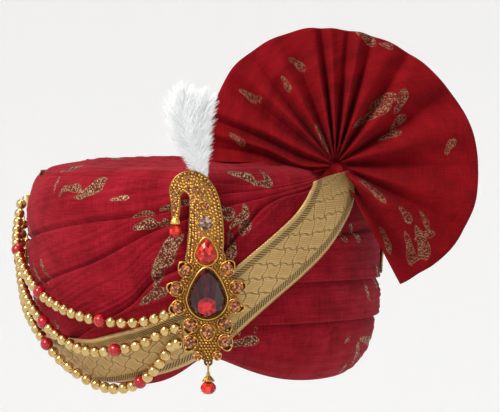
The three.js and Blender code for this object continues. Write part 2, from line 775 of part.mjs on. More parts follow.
function makeBrooch() {
  add("brooch_frame", broochFrame(), GOLD, brooch);
  const seat = BROOCH.cup + BROOCH.seatGap;
  AMBER_STONES.forEach((stone, i) => {
    const height = STONE.height * (stone.r < 3 ? 0.7 : 1);
    const name = `stone_amber_${String(i + 1).padStart(2, "0")}`;
    add(name, cutStone(circleOutline(stone, 8), stone, seat, height), AMBER, brooch);
  });
  const rose = cutStone(circleOutline(ROSE_STONE, 10), ROSE_STONE, seat, STONE.height * 1.1);
  add("stone_rose", rose, ROSE, brooch);
  add("stone_red_pear", cutStone(pearOutline(RED_PEAR, 0, 12), RED_PEAR, seat, STONE.height * 1.3), RED_GLASS, brooch);
  add("stone_main_pear", cutStone(pearOutline(MAIN_PEAR, 0, 16), MAIN_PEAR, seat, STONE.mainHeight), GARNET, brooch);
  const bead = new THREE.SphereGeometry(TIP.bead, 10, 5);
  bead.translate(TIP.x, TIP.y - TIP.cap + 1 - BROOCH.seatGap - TIP.bead, TIP.z);
  add("tip_bead", bead, RED_GLASS, brooch);
  const pin = new THREE.CylinderGeometry(PIN.radius, PIN.radius, PIN.length, 8);
  pin.translate(PIN.x, PIN.y, -PIN.radius - BROOCH.seatGap);
  add("brooch_pin", pin, GOLD, brooch);
}

// The pear drop hangs from the lug on a wire eye, and swings from side to side.
function makeDrop() {
  brooch.updateMatrixWorld(true);
  turban.updateMatrixWorld(true);
  const pivot = new THREE.Vector3(LUG.x, LUG.y, LUG.depth / 2).applyMatrix4(brooch.matrixWorld);
  const eyeRadius = DROP.lug + 0.4;
  const drop = new THREE.Group();
  drop.position.copy(pivot);
  turban.add(drop);
  const eye = new THREE.TorusGeometry(eyeRadius, DROP.wire, 4, 10);
  eye.rotateY(90 * deg);
  eye.translate(0, 0, -eyeRadius);
  const beadTop = -DROP.hang + DROP.beadRadius + 1;
  const stem = new THREE.CylinderGeometry(DROP.wire, DROP.wire, DROP.hang - 2 * eyeRadius - 2, 6);
  stem.rotateX(90 * deg);
  stem.translate(0, 0, mix(-2 * eyeRadius, beadTop, 0.5));
  const cap = new THREE.CylinderGeometry(1.2, DROP.beadRadius * 0.72, DROP.capHeight, 10);
  cap.rotateX(90 * deg);
  cap.translate(0, 0, beadTop - 0.2);
  const beadProfile = [
    [0, -1],
    [0.7, -0.75],
    [1, -0.1],
    [0.6, 0.62],
    [0, 0.62],
  ].map(([r, z]) => new THREE.Vector2(r * DROP.beadRadius, z * DROP.beadRadius));
  const bead = new THREE.LatheGeometry(beadProfile, 12);
  bead.rotateX(90 * deg);
  bead.translate(0, 0, beadTop - 0.2 - DROP.capHeight / 2 - BROOCH.seatGap - 0.62 * DROP.beadRadius);
  add("drop_cap", joined([eye, stem, cap]), GOLD, drop);
  add("drop_bead", bead, RED_GLASS, drop);
}

// Locks of the feather plume: sideways reach, forward reach, height and root half width, as shares.
const LOCKS = [
  { side: -0.98, front: 0.1, tall: 0.62, wide: 0.5 },
  { side: -0.8, front: 0.5, tall: 0.82, wide: 0.5 },
  { side: -0.62, front: -0.2, tall: 1.0, wide: 0.55 },
  { side: -0.2, front: 0.6, tall: 0.86, wide: 0.6 },
  { side: 0.35, front: 0.3, tall: 0.86, wide: 0.55 },
  { side: 0.72, front: -0.1, tall: 0.92, wide: 0.5 },
];

function plumeSolid() {
  const spine = (share) => Math.sin(share * Math.PI * 0.62);
  const locks = LOCKS.map(({ side, front, tall, wide }) => {
    const rings = [0, 0.4, 0.8].map((s) => {
      const thick = PLUME.root * wide * (1 + 2.4 * Math.sin(s * 2.4)) * (1 - 0.45 * s);
      const cx = side * PLUME.spread * spine(s) * 0.8 + PLUME.drift * s;
      const cy = front * PLUME.thickness * spine(s) * 0.45;
      return Array.from({ length: 5 }, (unused, i) => {
        const a = (i / 5) * 2 * Math.PI;
        return new THREE.Vector3(cx + thick * Math.cos(a), cy + thick * 0.7 * Math.sin(a), s * tall * PLUME.height);
      });
    });
    const tipX = side * PLUME.spread + PLUME.drift;
    rings.push(
      rings.at(-1).map((p) => {
        const tip = new THREE.Vector3(tipX, front * PLUME.thickness * 0.45, tall * PLUME.height);
        return tip.lerp(p, 0.12);
      }),
    );
    return loft(rings, false);
  });
  return joined(locks);
}

// Routes of the three swags, from the brooch to the hook: degrees from the front and height.
const SWAG_ROUTES = {
  mala_1: [
    [-16.5, 46.5], [-23, 44.6], [-32, 45], [-41, 47.5], [-49.5, 52], [-59, 59], [-66, 66.5], [-73, 75],
    [-80, 84], [-87, 94], [-92, 104], [-95, 113], [-97, 119],
  ],
  mala_2: [
    [-11.8, 39.8], [-15.5, 35], [-21, 29.5], [-26, 27], [-31, 25], [-38.5, 23.5], [-46, 26], [-54, 32.5],
    [-61, 40], [-69, 48.5], [-77, 57], [-85, 67], [-91.5, 79], [-96.5, 92], [-100, 105],
  ],
  mala_3: [
    [-10.2, 30], [-12.5, 23.5], [-17.5, 12], [-22, 5.5], [-28, 0], [-35, -2.5], [-42, -1.8], [-49, 3.6],
    [-55, 12], [-62, 22.5], [-69, 33], [-77, 43.5], [-85, 53.5], [-92.5, 64.5], [-98.5, 77], [-103, 91],
  ],
};
const SWAG_LIFT = WRAP.bulge + BEAD.red + 0.5;

// Where each swag's thread meets the brooch: the stone whose cup it reaches and the side of the cup.
const SWAG_STARTS = {
  mala_1: { stone: 2, side: 215 },
  mala_2: { stone: 3, side: 190 },
  mala_3: { stone: 4, side: 180 },
};

function swagStart({ stone, side }) {
  const { x, y, r } = AMBER_STONES[stone];
  const away = r + CUP_RIM + BROOCH.seatGap + BEAD.thread * 0.8;
  const local = new THREE.Vector3(x + away * Math.cos(side * deg), y + away * Math.sin(side * deg), BROOCH.cup / 2);
  return local.applyMatrix4(brooch.matrixWorld);
}

const SWAG_RIM_LIFT = 1.6;

const RED_PATTERN = { mala_1: [7, 15, 22, 29], mala_2: [7, 16, 26, 35], mala_3: [7, 18, 29, 39] };

// A string of beads as one turned body: its girth swells at each bead and narrows to the thread.
function beadString(points, reds) {
  const path = new THREE.CatmullRomCurve3(points, false, "centripetal");
  path.arcLengthDivisions = 600;
  const length = path.getLength();
  const stations = [{ at: 0, r: BEAD.thread }];
  let at = 1;
  let number = 1;
  for (;;) {
    const r = reds.includes(number) ? BEAD.red : BEAD.gold;
    if (at + 2 * r > length - 2.5) break;
    stations.push({ at, r: BEAD.thread });
    stations.push({ at: at + r * 0.42, r: r * 0.86 });
    stations.push({ at: at + r * 1.58, r: r * 0.86 });
    at += 2 * r + BEAD.space;
    number += 1;
  }
  stations.push({ at: at, r: BEAD.thread }, { at: length, r: BEAD.thread });
  const sections = stations.map(({ at: along, r }) => {
    const u = clamp(along / length, 0, 1);
    const centre = path.getPointAt(u);
    const tangent = path.getTangentAt(u);
    const up = new THREE.Vector3(0, 0, 1).cross(tangent).lengthSq() > 0.05 ? new THREE.Vector3(0, 0, 1) : new THREE.Vector3(0, 1, 0);
    const a = tangent.clone().cross(up).normalize();
    const b = a.clone().cross(tangent);
    return Array.from({ length: BEAD_SIDES }, (unused, i) => {
      const turn = (i / BEAD_SIDES) * 2 * Math.PI;
      return centre.clone().addScaledVector(a, r * Math.cos(turn)).addScaledVector(b, r * Math.sin(turn));
    });
  });
  return loft(sections, false);
}

function makeSwags() {
  Object.entries(SWAG_ROUTES).forEach(([name, route]) => {
    const start = swagStart(SWAG_STARTS[name]);
    const rest = route.map(([turn, z]) => besideBody(turn, z, SWAG_LIFT + SWAG_RIM_LIFT * clamp(1 - z / 25, 0, 1)));
    add(name, beadString([start, ...rest], RED_PATTERN[name]), BEAD_GOLD);
  });
  const ends = Object.values(SWAG_ROUTES).map((route) => {
    const [turn, z] = route.at(-1);
    return besideBody(turn - HOOK.behind, z + HOOK.rise, WRAP.bulge + HOOK.radius + HOOK.clear);
  });
  const bar = new THREE.CatmullRomCurve3(ends);
  const section = new THREE.Shape(circleOutline({ x: 0, y: 0, r: HOOK.radius }, HOOK.sides));
  const rail = new THREE.ExtrudeGeometry(section, { steps: 4, extrudePath: bar });
  add("mala_hook", geometryOf(solid(rail)), GOLD);
}

add("crown_cap", capSolid(), CRIMSON);
makeWraps();
makeBorders();
add("turra_fan", fanShell(), CRIMSON);
makeBrooch();
makeDrop();
const plume = add("plume", plumeSolid(), FEATHER, brooch);
plume.rotation.x = -90 * deg;
plume.position.set(-2, 66, PLUME.behind);
makeSwags();

export default turban;
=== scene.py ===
"""A ready-tied wedding turban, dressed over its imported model: wound crimson cloth with a gold foil print,
brocade borders, a pleated cloth fan, a jewelled brooch with a feather plume, and three swags of beads.
Lengths in the tables are in millimetres, and are turned into metres where each mesh is made."""
import math

import bpy
import numpy as np
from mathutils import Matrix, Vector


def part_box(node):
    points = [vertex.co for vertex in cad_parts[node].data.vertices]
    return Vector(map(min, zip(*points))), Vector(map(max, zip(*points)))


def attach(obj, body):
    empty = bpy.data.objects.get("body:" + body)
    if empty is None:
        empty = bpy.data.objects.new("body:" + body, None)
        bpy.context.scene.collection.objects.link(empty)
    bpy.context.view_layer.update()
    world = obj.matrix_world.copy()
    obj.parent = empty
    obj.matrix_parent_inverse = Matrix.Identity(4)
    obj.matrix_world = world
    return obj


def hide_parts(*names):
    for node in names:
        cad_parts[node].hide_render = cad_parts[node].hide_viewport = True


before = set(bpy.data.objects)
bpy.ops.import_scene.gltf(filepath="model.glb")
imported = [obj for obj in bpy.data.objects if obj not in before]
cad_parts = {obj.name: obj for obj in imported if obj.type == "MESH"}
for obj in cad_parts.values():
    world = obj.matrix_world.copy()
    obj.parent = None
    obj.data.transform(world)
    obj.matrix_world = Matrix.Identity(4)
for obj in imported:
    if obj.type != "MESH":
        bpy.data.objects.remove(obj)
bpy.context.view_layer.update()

# Camera, light and floor.
# The turban is held up in a plain studio: a long lens a little above its middle, a large soft light over
# the left shoulder, a weak one from the right, and a pale floor far below that bends up into a low wall.
AIM = np.array([0.0308, 0.0, 0.1127])
ELEVATION = math.radians(3.0)
DISTANCE = 1.5
camera = bpy.data.objects.new("camera", bpy.data.cameras.new("camera"))
bpy.context.scene.collection.objects.link(camera)
camera.location = AIM + DISTANCE * np.array([0.0, -math.cos(ELEVATION), math.sin(ELEVATION)])
camera.rotation_euler = (math.pi / 2 - ELEVATION, 0.0, 0.0)
camera.data.lens = 154.3
camera.data.sensor_width = 36.0
camera.data.clip_end = 30.0
bpy.context.scene.camera = camera
bpy.context.scene.view_settings.view_transform = "Standard"


def soft_light(name, place, aim, size, power, tint):
    """A square area light at a place, turned to face a point."""
    data = bpy.data.lights.new(name, "AREA")
    data.size = size
    data.energy = power
    data.color = tint
    lamp = bpy.data.objects.new(name, data)
    bpy.context.scene.collection.objects.link(lamp)
    lamp.location = place
    away = np.array(place) - np.array(aim)
    tilt = math.acos(away[2] / np.linalg.norm(away))
    lamp.rotation_euler = (tilt, 0.0, math.atan2(away[1], away[0]) + math.pi / 2)


soft_light("key", (-1.0, -0.95, 1.25), (0.0, 0.0, 0.08), 0.8, 27.0, (1.0, 0.98, 0.95))
soft_light("fill", (1.2, -1.4, 0.5), (0.0, 0.0, 0.1), 1.0, 1.2, (1.0, 0.98, 0.97))
soft_light("top", (-0.1, 0.35, 1.5), (0.0, 0.0, 0.1), 1.0, 9.0, (1.0, 1.0, 1.0))

world = bpy.data.worlds.new("studio")
bpy.context.scene.world = world
world.use_nodes = True
world.node_tree.nodes["Background"].inputs["Color"].default_value = (0.96, 0.95, 0.94, 1.0)
world.node_tree.nodes["Background"].inputs["Strength"].default_value = 0.30


def circle(count):
    """Even angles round a full turn."""
    return np.linspace(0, 2 * math.pi, count, endpoint=False)


def grid_faces(nu, nv, close_u=False, close_v=False, caps=False):
    """Faces of a grid of nu rows and nv columns: four-sided cells, closed to a ring in a direction if asked,
    and one flat face over each end where the ends are capped."""
    ids = np.arange(nu * nv).reshape(nu, nv)
    i = np.arange(nu if close_u else nu - 1)[:, None]
    j = np.arange(nv if close_v else nv - 1)[None, :]
    i2, j2 = (i + 1) % nu, (j + 1) % nv
    cells = np.stack([ids[i, j], ids[i2, j], ids[i2, j2], ids[i, j2]], axis=-1).reshape(-1, 4)
    return [cells, ids[:1], ids[-1:, ::-1]] if caps else [cells]


def outward(points, faces):
    """The faces, turned over if the volume that they enclose comes out below zero."""
    centre = points.mean(axis=0)
    volume = 0.0
    for group in faces:
        a, b, c = (points[group[:, k]] - centre for k in (0, 1, 2))
        volume += np.einsum("ij,ij->", a, np.cross(b, c))
        if group.shape[1] == 4:
            d = points[group[:, 3]] - centre
            volume += np.einsum("ij,ij->", a, np.cross(c, d))
    return [group[:, ::-1] for group in faces] if volume < 0 else faces


def grid_part(points, **closing):
    """A grid of points in millimetres as flat points with outward faces."""
    flat = points.reshape(-1, 3)
    return flat, outward(flat, grid_faces(*points.shape[:2], **closing))


def poled_part(points):
    """A grid of points in millimetres closed round its rows, with a flat face over the first and last
    ring."""
    flat = points.reshape(-1, 3)
    ids = np.arange(len(flat)).reshape(points.shape[:2])
    ends = [ids[:, 0][None, ::-1], ids[:, -1][None, :]]
    return flat, outward(flat, [*grid_faces(*points.shape[:2], close_u=True), *ends])


def mesh_of(name, parts, smooth=True, uv=None, marks=None, face_marks=None):
    """One mesh from parts in millimetres, each its points and a list of its faces grouped by their number of
    corners. UVs and marks are given for each point, and face marks for each face."""
    loops, sizes, start = [], [], 0
    for points, faces in parts:
        for group in faces:
            loops.append((group + start).ravel())
            sizes.append(np.full(len(group), group.shape[1]))
        start += len(points)
    loops, sizes = np.concatenate(loops).astype(np.int32), np.concatenate(sizes)
    mesh = bpy.data.meshes.new(name)
    mesh.vertices.add(start)
    everything = np.concatenate([points for points, _ in parts])
    mesh.vertices.foreach_set("co", (everything * 0.001).astype(np.float32).ravel())
    mesh.loops.add(len(loops))
    mesh.loops.foreach_set("vertex_index", loops)
    mesh.polygons.add(len(sizes))
    mesh.polygons.foreach_set("loop_start", np.concatenate([[0], np.cumsum(sizes)[:-1]]).astype(np.int32))
    mesh.polygons.foreach_set("use_smooth", np.full(len(sizes), smooth))
    if uv is not None:
        layer = mesh.uv_layers.new(name="cloth")
        layer.data.foreach_set("uv", uv.reshape(-1, 2)[loops].astype(np.float32).ravel())
    for domain, given in (("POINT", marks), ("FACE", face_marks)):
        for mark, values in (given or {}).items():
            data = mesh.attributes.new(mark, "FLOAT", domain).data
            data.foreach_set("value", values.astype(np.float32).ravel())
    mesh.update(calc_edges=True)
    mesh.validate()
    return mesh


def place(name, mesh, material, slot, *nodes, body="turban"):
    """Put a finished mesh in the scene as a piece of a body, in place of the CAD nodes it stands for."""
    piece = bpy.data.objects.new(name, mesh)
    bpy.context.scene.collection.objects.link(piece)
    mesh.materials.append(material)
    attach(piece, body)
    if nodes:
        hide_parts(*nodes)
    return piece


def bare_material(name):
    """A material whose node tree holds only its Principled shader and output."""
    material = bpy.data.materials.new(name)
    material.use_nodes = True
    return material, material.node_tree, material.node_tree.nodes["Principled BSDF"]


def feed(tree, made, inputs):
    """Connect or set a node's inputs, by name or number."""
    for key, value in inputs.items():
        socket = made.inputs[key]
        if isinstance(value, bpy.types.NodeSocket):
            tree.links.new(value, socket)
        else:
            socket.default_value = value


FLOOR_RADIUS, FLOOR_BEND, FLOOR_Z, WALL_TOP = 1200.0, 1800.0, -2600.0, 1900.0


def studio_mesh():
    """A round pale floor that bends up to a low wall all round: a disc, a quarter circle and a cylinder."""
    bend = np.linspace(0.0, math.pi / 2, 24)
    wall = FLOOR_RADIUS + FLOOR_BEND
    r = np.concatenate([[50.0, FLOOR_RADIUS], FLOOR_RADIUS + FLOOR_BEND * np.sin(bend), [wall]])
    z = np.concatenate([[FLOOR_Z, FLOOR_Z], FLOOR_Z + FLOOR_BEND * (1.0 - np.cos(bend)), [WALL_TOP]])
    a = circle(96)[None, :]
    points = np.stack([r[:, None] * np.cos(a), r[:, None] * np.sin(a), z[:, None] + 0 * a], axis=-1)
    faces = grid_faces(*points.shape[:2], close_v=True, caps=True)[:2]
    return mesh_of("floor", [(points.reshape(-1, 3), faces)])


WHITE = (1.0, 1.0, 1.0, 1.0)
floor = bpy.data.objects.new("floor", studio_mesh())
bpy.context.scene.collection.objects.link(floor)
pale, pale_tree, pale_shader = bare_material("pale_paper")
paper = {"Base Color": (0.92, 0.92, 0.92, 1.0), "Roughness": 0.95, "Emission Strength": 0.15}
feed(pale_tree, pale_shader, {**paper, "Emission Color": WHITE})
floor.data.materials.append(pale)

# Crimson cloth with a gold foil print.
# Thin cotton with slubs, a matt face and a faint sheen. Leaf-like strokes of foil are printed on it in an
# open stipple with a closed outline.


def node(tree, kind, links=None, **values):
    """Add a shader node, set its plain properties, and connect or set its inputs by name or number."""
    made = tree.nodes.new(kind)
    for key, value in values.items():
        setattr(made, key, value)
    feed(tree, made, links or {})
    return made


def maths(tree, operation, *values):
    """One step of arithmetic between sockets or numbers."""
    return node(tree, "ShaderNodeMath", dict(enumerate(values)), operation=operation).outputs[0]


def ranged(tree, value, low, high):
    """A socket's value as a share of the way from low to high, kept between 0 and 1."""
    return node(tree, "ShaderNodeMapRange", {0: value, 1: low, 2: high}).outputs[0]


def mixed(tree, share, first, second):
    """A colour between two colours, each a socket or an (r, g, b) tuple."""
    ends = [value if isinstance(value, bpy.types.NodeSocket) else (*value, 1.0) for value in (first, second)]
    return node(tree, "ShaderNodeMix", {0: share, 6: ends[0], 7: ends[1]}, data_type="RGBA").outputs[2]


def three_tones(tree, share, places, tones):
    """A colour from a ramp through three tones at three places."""
    ramp = node(tree, "ShaderNodeValToRGB", {0: share})
    elements = ramp.color_ramp.elements
    elements[0].position, elements[1].position = places[0], places[2]
    elements[0].color, elements[1].color = (*tones[0], 1.0), (*tones[2], 1.0)
    elements.new(places[1]).color = (*tones[1], 1.0)
    return ramp.outputs[0]


def object_noise(tree, scale, detail):
    """Noise over the object's own coordinates."""
    here = node(tree, "ShaderNodeTexCoord").outputs["Object"]
    return node(tree, "ShaderNodeTexNoise", {"Vector": here, "Scale": scale, "Detail": detail}).outputs[0]


def bumped(tree, height, strength, distance):
    """The surface's normal, raised by a height."""
    lift = {"Strength": strength, "Distance": distance, "Height": height}
    return node(tree, "ShaderNodeBump", lift).outputs[0]


def group(name, inputs, outputs):
    """An empty shader node group with the sockets named, and its input and output nodes."""
    tree = bpy.data.node_groups.new(name, "ShaderNodeTree")
    for socket, kind in inputs.items():
        tree.interface.new_socket(name=socket, in_out="INPUT", socket_type=kind)
    for socket, kind in outputs.items():
        tree.interface.new_socket(name=socket, in_out="OUTPUT", socket_type=kind)
    return tree, tree.nodes.new("NodeGroupInput"), tree.nodes.new("NodeGroupOutput")


def foil_group():
    """Mask of the foil from its depth inside a stroke, in millimetres, and the cloth's own coordinates: a
    solid line for the first part of a millimetre, then a stipple of rounded specks."""
    tree, given, out = group(
        "foil_print", {"Depth": "NodeSocketFloat", "Cloth": "NodeSocketVector"}, {"Foil": "NodeSocketFloat"}
    )
    depth, cloth = given.outputs["Depth"], given.outputs["Cloth"]
    ragged = node(tree, "ShaderNodeTexNoise", {"Vector": cloth, "Scale": 7.0, "Detail": 2.0}).outputs[0]
    rough_depth = maths(tree, "ADD", depth, maths(tree, "MULTIPLY_ADD", ragged, 1.2, -0.6))
    inside = ranged(tree, rough_depth, -0.04, 0.12)
    line = ranged(tree, rough_depth, 0.42, 0.26)
    specks = node(tree, "ShaderNodeTexVoronoi", {"Vector": cloth, "Scale": 9.5, "Randomness": 1.0})
    speck = ranged(tree, specks.outputs["Distance"], 0.50, 0.36)
    patches = node(tree, "ShaderNodeTexNoise", {"Vector": cloth, "Scale": 2.2}).outputs[0]
    worn = ranged(tree, patches, 0.30, 0.46)
    body = maths(tree, "MULTIPLY", maths(tree, "MAXIMUM", maths(tree, "MULTIPLY", line, 0.5), speck), worn)
    tree.links.new(maths(tree, "MULTIPLY", inside, body), out.inputs["Foil"])
    return tree


def weave_group():
    """Height and shade of woven cotton, from its own coordinates in centimetres: two sets of threads as fine
    waves at right angles, thick slubs as noise stretched along each thread, and slow patches of shade."""
    tree, given, out = group(
        "cotton_weave", {"Cloth": "NodeSocketVector"},
        {"Height": "NodeSocketFloat", "Shade": "NodeSocketFloat"},
    )
    cloth = given.outputs["Cloth"]
    streaks = []
    for scale in ((0.8, 14.0, 1.0), (14.0, 0.8, 1.0)):
        stretched = node(tree, "ShaderNodeMapping", {"Vector": cloth, "Scale": scale}).outputs[0]
        noise = node(tree, "ShaderNodeTexNoise", {"Vector": stretched, "Scale": 1.0, "Detail": 4.0})
        streaks.append(noise.outputs[0])
    slub = maths(tree, "ADD", streaks[0], streaks[1])
    threads = []
    for way in ("X", "Y"):
        fine = {"Vector": cloth, "Scale": 7.0, "Distortion": 0.6}
        wave = node(tree, "ShaderNodeTexWave", fine, bands_direction=way)
        threads.append(wave.outputs[1])
    weave = maths(tree, "MULTIPLY", threads[0], threads[1])
    slow = node(tree, "ShaderNodeTexNoise", {"Vector": cloth, "Scale": 0.45, "Detail": 3.0}).outputs[0]
    tree.links.new(maths(tree, "MULTIPLY_ADD", weave, 0.35, slub), out.inputs["Height"])
    uneven = maths(tree, "MULTIPLY_ADD", slow, 0.6, -0.3)
    tree.links.new(maths(tree, "MULTIPLY_ADD", slub, 0.5, uneven), out.inputs["Shade"])
    return tree


FOIL_PRINT = foil_group()
COTTON_WEAVE = weave_group()


def cotton(name, dark, mid, light, sheen, left=1.0):
    """Dyed cotton: the weave's shade picks between three depths of the dye, foil lies where the print is, as
    much of it as is left, and the weave's height is a bump."""
    material, tree, shader = bare_material(name)
    cloth = node(tree, "ShaderNodeUVMap", uv_map="cloth").outputs[0]
    weave = node(tree, "ShaderNodeGroup", {"Cloth": cloth}, node_tree=COTTON_WEAVE)
    dyed = three_tones(tree, weave.outputs["Shade"], (0.3, 0.5, 0.72), (dark, mid, light))
    depth = node(tree, "ShaderNodeAttribute", attribute_name="foil").outputs["Fac"]
    print_of = node(tree, "ShaderNodeGroup", {"Depth": depth, "Cloth": cloth}, node_tree=FOIL_PRINT)
    foil = maths(tree, "MULTIPLY", print_of.outputs["Foil"], left)
    under = ranged(tree, depth, -0.3, 0.3)
    stain = maths(tree, "MULTIPLY", under, 0.7 * left)
    stained = mixed(tree, stain, dyed, (0.07, 0.025, 0.018))
    feed(tree, shader, {
        "Base Color": mixed(tree, foil, stained, (0.48, 0.32, 0.17)),
        "Roughness": maths(tree, "MULTIPLY_ADD", foil, -0.45, 0.86),
        "Metallic": maths(tree, "MULTIPLY", foil, 0.7),
        "Normal": bumped(tree, weave.outputs["Height"], 0.35, 0.0006),
        "Sheen Weight": sheen, "Sheen Roughness": 0.4, "Sheen Tint": (1.0, 0.25, 0.32, 1.0),
        "Specular IOR Level": 0.1,
    })
    return material


CRIMSON = cotton("crimson_cotton", (0.15, 0.002, 0.006), (0.26, 0.005, 0.013), (0.37, 0.012, 0.026), 0.10)

# The wound body.
# Turns of pleated cloth wound on a padded cap. Turns are degrees from the front, positive to the right, and
# a height is taken up the body. The forehead notch lifts the rim at the front.
HALF_WIDTH, HALF_DEPTH, HEIGHT, SIDE_LEAN = 122.0, 138.0, 143.0, 6.0
PER_DEGREE = math.radians(1.0) * 128.0
NOTCH_LIFT, NOTCH_TOP = 21.0, 70.0
# The wound cloth's thickness, the rim's roll, and how far the crown lies to the left.
CLOTH, RIM_ROLL, CROWN_SHIFT = 1.2, 4.6, -3.0
# The head's hollow: half its width and depth, and its height.
HOLLOW_WIDTH, HOLLOW_DEPTH, HOLLOW_TOP = 80.0, 98.0, 138.0


def smooth_line(*rows):
    """A curve through (x, y) rows that never overshoots: a cubic whose slope at each row is the harmonic mean
    of its neighbours' slopes, or flat at a peak."""
    x, y = np.array(rows, float).T
    rise = np.diff(y) / np.diff(x)
    before, after = rise[:-1], rise[1:]
    total = np.where(before + after == 0, 1, before + after)
    inner = np.where(before * after <= 0, 0, 2 * before * after / total)
    slope = np.concatenate([rise[:1], inner, rise[-1:]])

    def at(v):
        v = np.clip(v, x[0], x[-1])
        i = np.clip(np.searchsorted(x, v, side="right") - 1, 0, len(x) - 2)
        h = x[i + 1] - x[i]
        s = (v - x[i]) / h
        ends = y[i] * (1 + 2 * s) * (1 - s) ** 2 + y[i + 1] * s * s * (3 - 2 * s)
        return ends + h * (slope[i] * s * (1 - s) ** 2 - slope[i + 1] * s * s * (1 - s))

    return at


def ease(share):
    """A share from 0 to 1, smoothed at both ends."""
    s = np.clip(share, 0, 1)
    return s * s * (3 - 2 * s)


def near(distance, reach):
    """A soft bump that is 1 where the distance is 0 and fades out over a few times the reach."""
    return np.exp(-((distance / reach) ** 2))


body_out = smooth_line(
    (0, 0.79), (0.04, 0.845), (0.14, 0.915), (0.28, 0.96), (0.45, 0.985), (0.63, 1.0), (0.78, 0.99),
    (0.88, 0.96), (0.95, 0.9), (0.985, 0.82), (1.0, 0.72),
)


def notch(turn):
    """Lift of the rim at a turn: 21 mm at the front, halved at 10 degrees left or 17 right, then fading."""
    turn = (turn + 180.0) % 360.0 - 180.0
    return NOTCH_LIFT * 0.5 ** (np.abs(turn / np.where(turn < 0, 10.0, 17.0)) ** 1.5)


def level_of(turn, z):
    """Height before the notch lifts the rim: the root of z = lift (1 - level / top)^2 + level."""
    lift = notch(turn)
    b = 1 - 2 * lift / NOTCH_TOP
    a = lift / NOTCH_TOP**2
    root = (-b + np.sqrt(np.maximum(b * b - 4 * a * (lift - z), 0))) / (2 * np.maximum(a, 1e-9))
    return np.where((lift < 1e-3) | (z >= NOTCH_TOP), z, root)


def on_oval(turn, level, push, z):
    """Point at a height z, pushed straight out from the body's oval at a level. The oval is scaled by the
    outline and shifted a little sideways as it climbs."""
    out = body_out(level / HEIGHT)
    a = np.radians(turn)
    side = SIDE_LEAN * (0.5 - level / HEIGHT) + (HALF_WIDTH * out + push) * np.sin(a)
    return np.stack([side, -(HALF_DEPTH * out + push) * np.cos(a), z], axis=-1)


def on_crown(a, out, z):
    """Point of the crown at an angle, a share of the body's half width and depth, and a height."""
    return np.stack([CROWN_SHIFT + HALF_WIDTH * out * np.sin(a), -HALF_DEPTH * out * np.cos(a), z], axis=-1)


def on_body(turn, z, off=0.0):
    """Point of the body at a turn and height, moved out along its normal."""
    turn, z, off = np.broadcast_arrays(np.asarray(turn, float), z, off)
    level = np.clip(level_of(turn, z), 0, HEIGHT)
    low, high = np.maximum(level - 0.5, 0), np.minimum(level + 0.5, HEIGHT)
    flare = (body_out(high / HEIGHT) - body_out(low / HEIGHT)) * HALF_WIDTH / (high - low)
    tilt = np.arctan(-flare)
    return on_oval(turn, level, off * np.cos(tilt), z + off * np.sin(tilt))


# Folds, each as rows of turn from the hub (which is 45 degrees right of the front) and height.
HUB = 45.0
FOLDS = {
    "top": (
        (-20, 138), (0, 138), (45, 135.1), (135, 132.3), (225, 134.4), (290, 136.9), (315, 135), (341, 132.3),
        (352, 135.1), (360, 138),
    ),
    "upper": (
        (-12, 98), (35, 99), (80, 97), (135, 92), (185, 86), (225, 88.5), (237, 91), (255, 99), (280, 108),
        (303, 115), (320, 127), (341, 130.7), (360, 136.3),
    ),
    "middle": (
        (-30, 68), (-8, 68.5), (35, 64.5), (80, 62), (135, 57), (180, 51), (215, 50), (242, 59), (263, 71),
        (280, 82), (303, 105), (325, 120), (343, 128), (360, 134.7),
    ),
    "lower": ((-48, 40), (-22, 42), (35, 38.5), (80, 36), (135, 32), (180, 25), (225, 17.2)),
    "gusset": (
        (258, 21.5), (275, 38), (292, 55), (301, 72), (320, 89), (328, 104), (335, 118), (342, 124.7),
        (351, 128.7), (360, 133.4),
    ),
    "border": (
        (150, 21.5), (225, 16), (255, 13.6), (274, 15), (289, 21.5), (298, 26.5), (305.5, 32.5), (317, 46),
        (326.5, 62), (335, 76), (343, 88.7), (351, 102), (360, 121.6), (366, 135), (367, 137.3),
    ),
    "back_border": ((40, 80), (90, 88.7), (150, 107), (200, 121.5), (226, 124.4)),
}
fold = {name: smooth_line(*rows) for name, rows in FOLDS.items()}
# Each border's first and last turn from the hub, and half its width.
BORDER_RUNS = {"border": (168, 366, 17.0), "back_border": (44, 222, 15.0)}


def ripple(along, across, seed, count=12, pace=(0.5, 2.2), grain=(0.03, 0.11)):
    """Long soft creases: a sum of sharp-crested waves that run along the cloth and wander a little, each with
    its own pitch across, drift along, and place."""
    random = np.random.default_rng(seed)
    total = 0.0
    for _ in range(count):
        pitch = random.uniform(*grain)
        drift = random.uniform(*pace) * random.choice((-1, 1))
        shift = random.uniform(0, 2 * math.pi)
        wander = 0.8 * np.sin(np.radians(along) * random.uniform(0.8, 2.2) + random.uniform(0, 2 * math.pi))
        wave = np.sin(across * pitch * 2 * math.pi + np.radians(along) * drift + wander + shift)
        total = total + (1 - np.abs(wave)) ** 1.4 - 0.38
    return total / math.sqrt(count)


NO_FOIL = -5.0


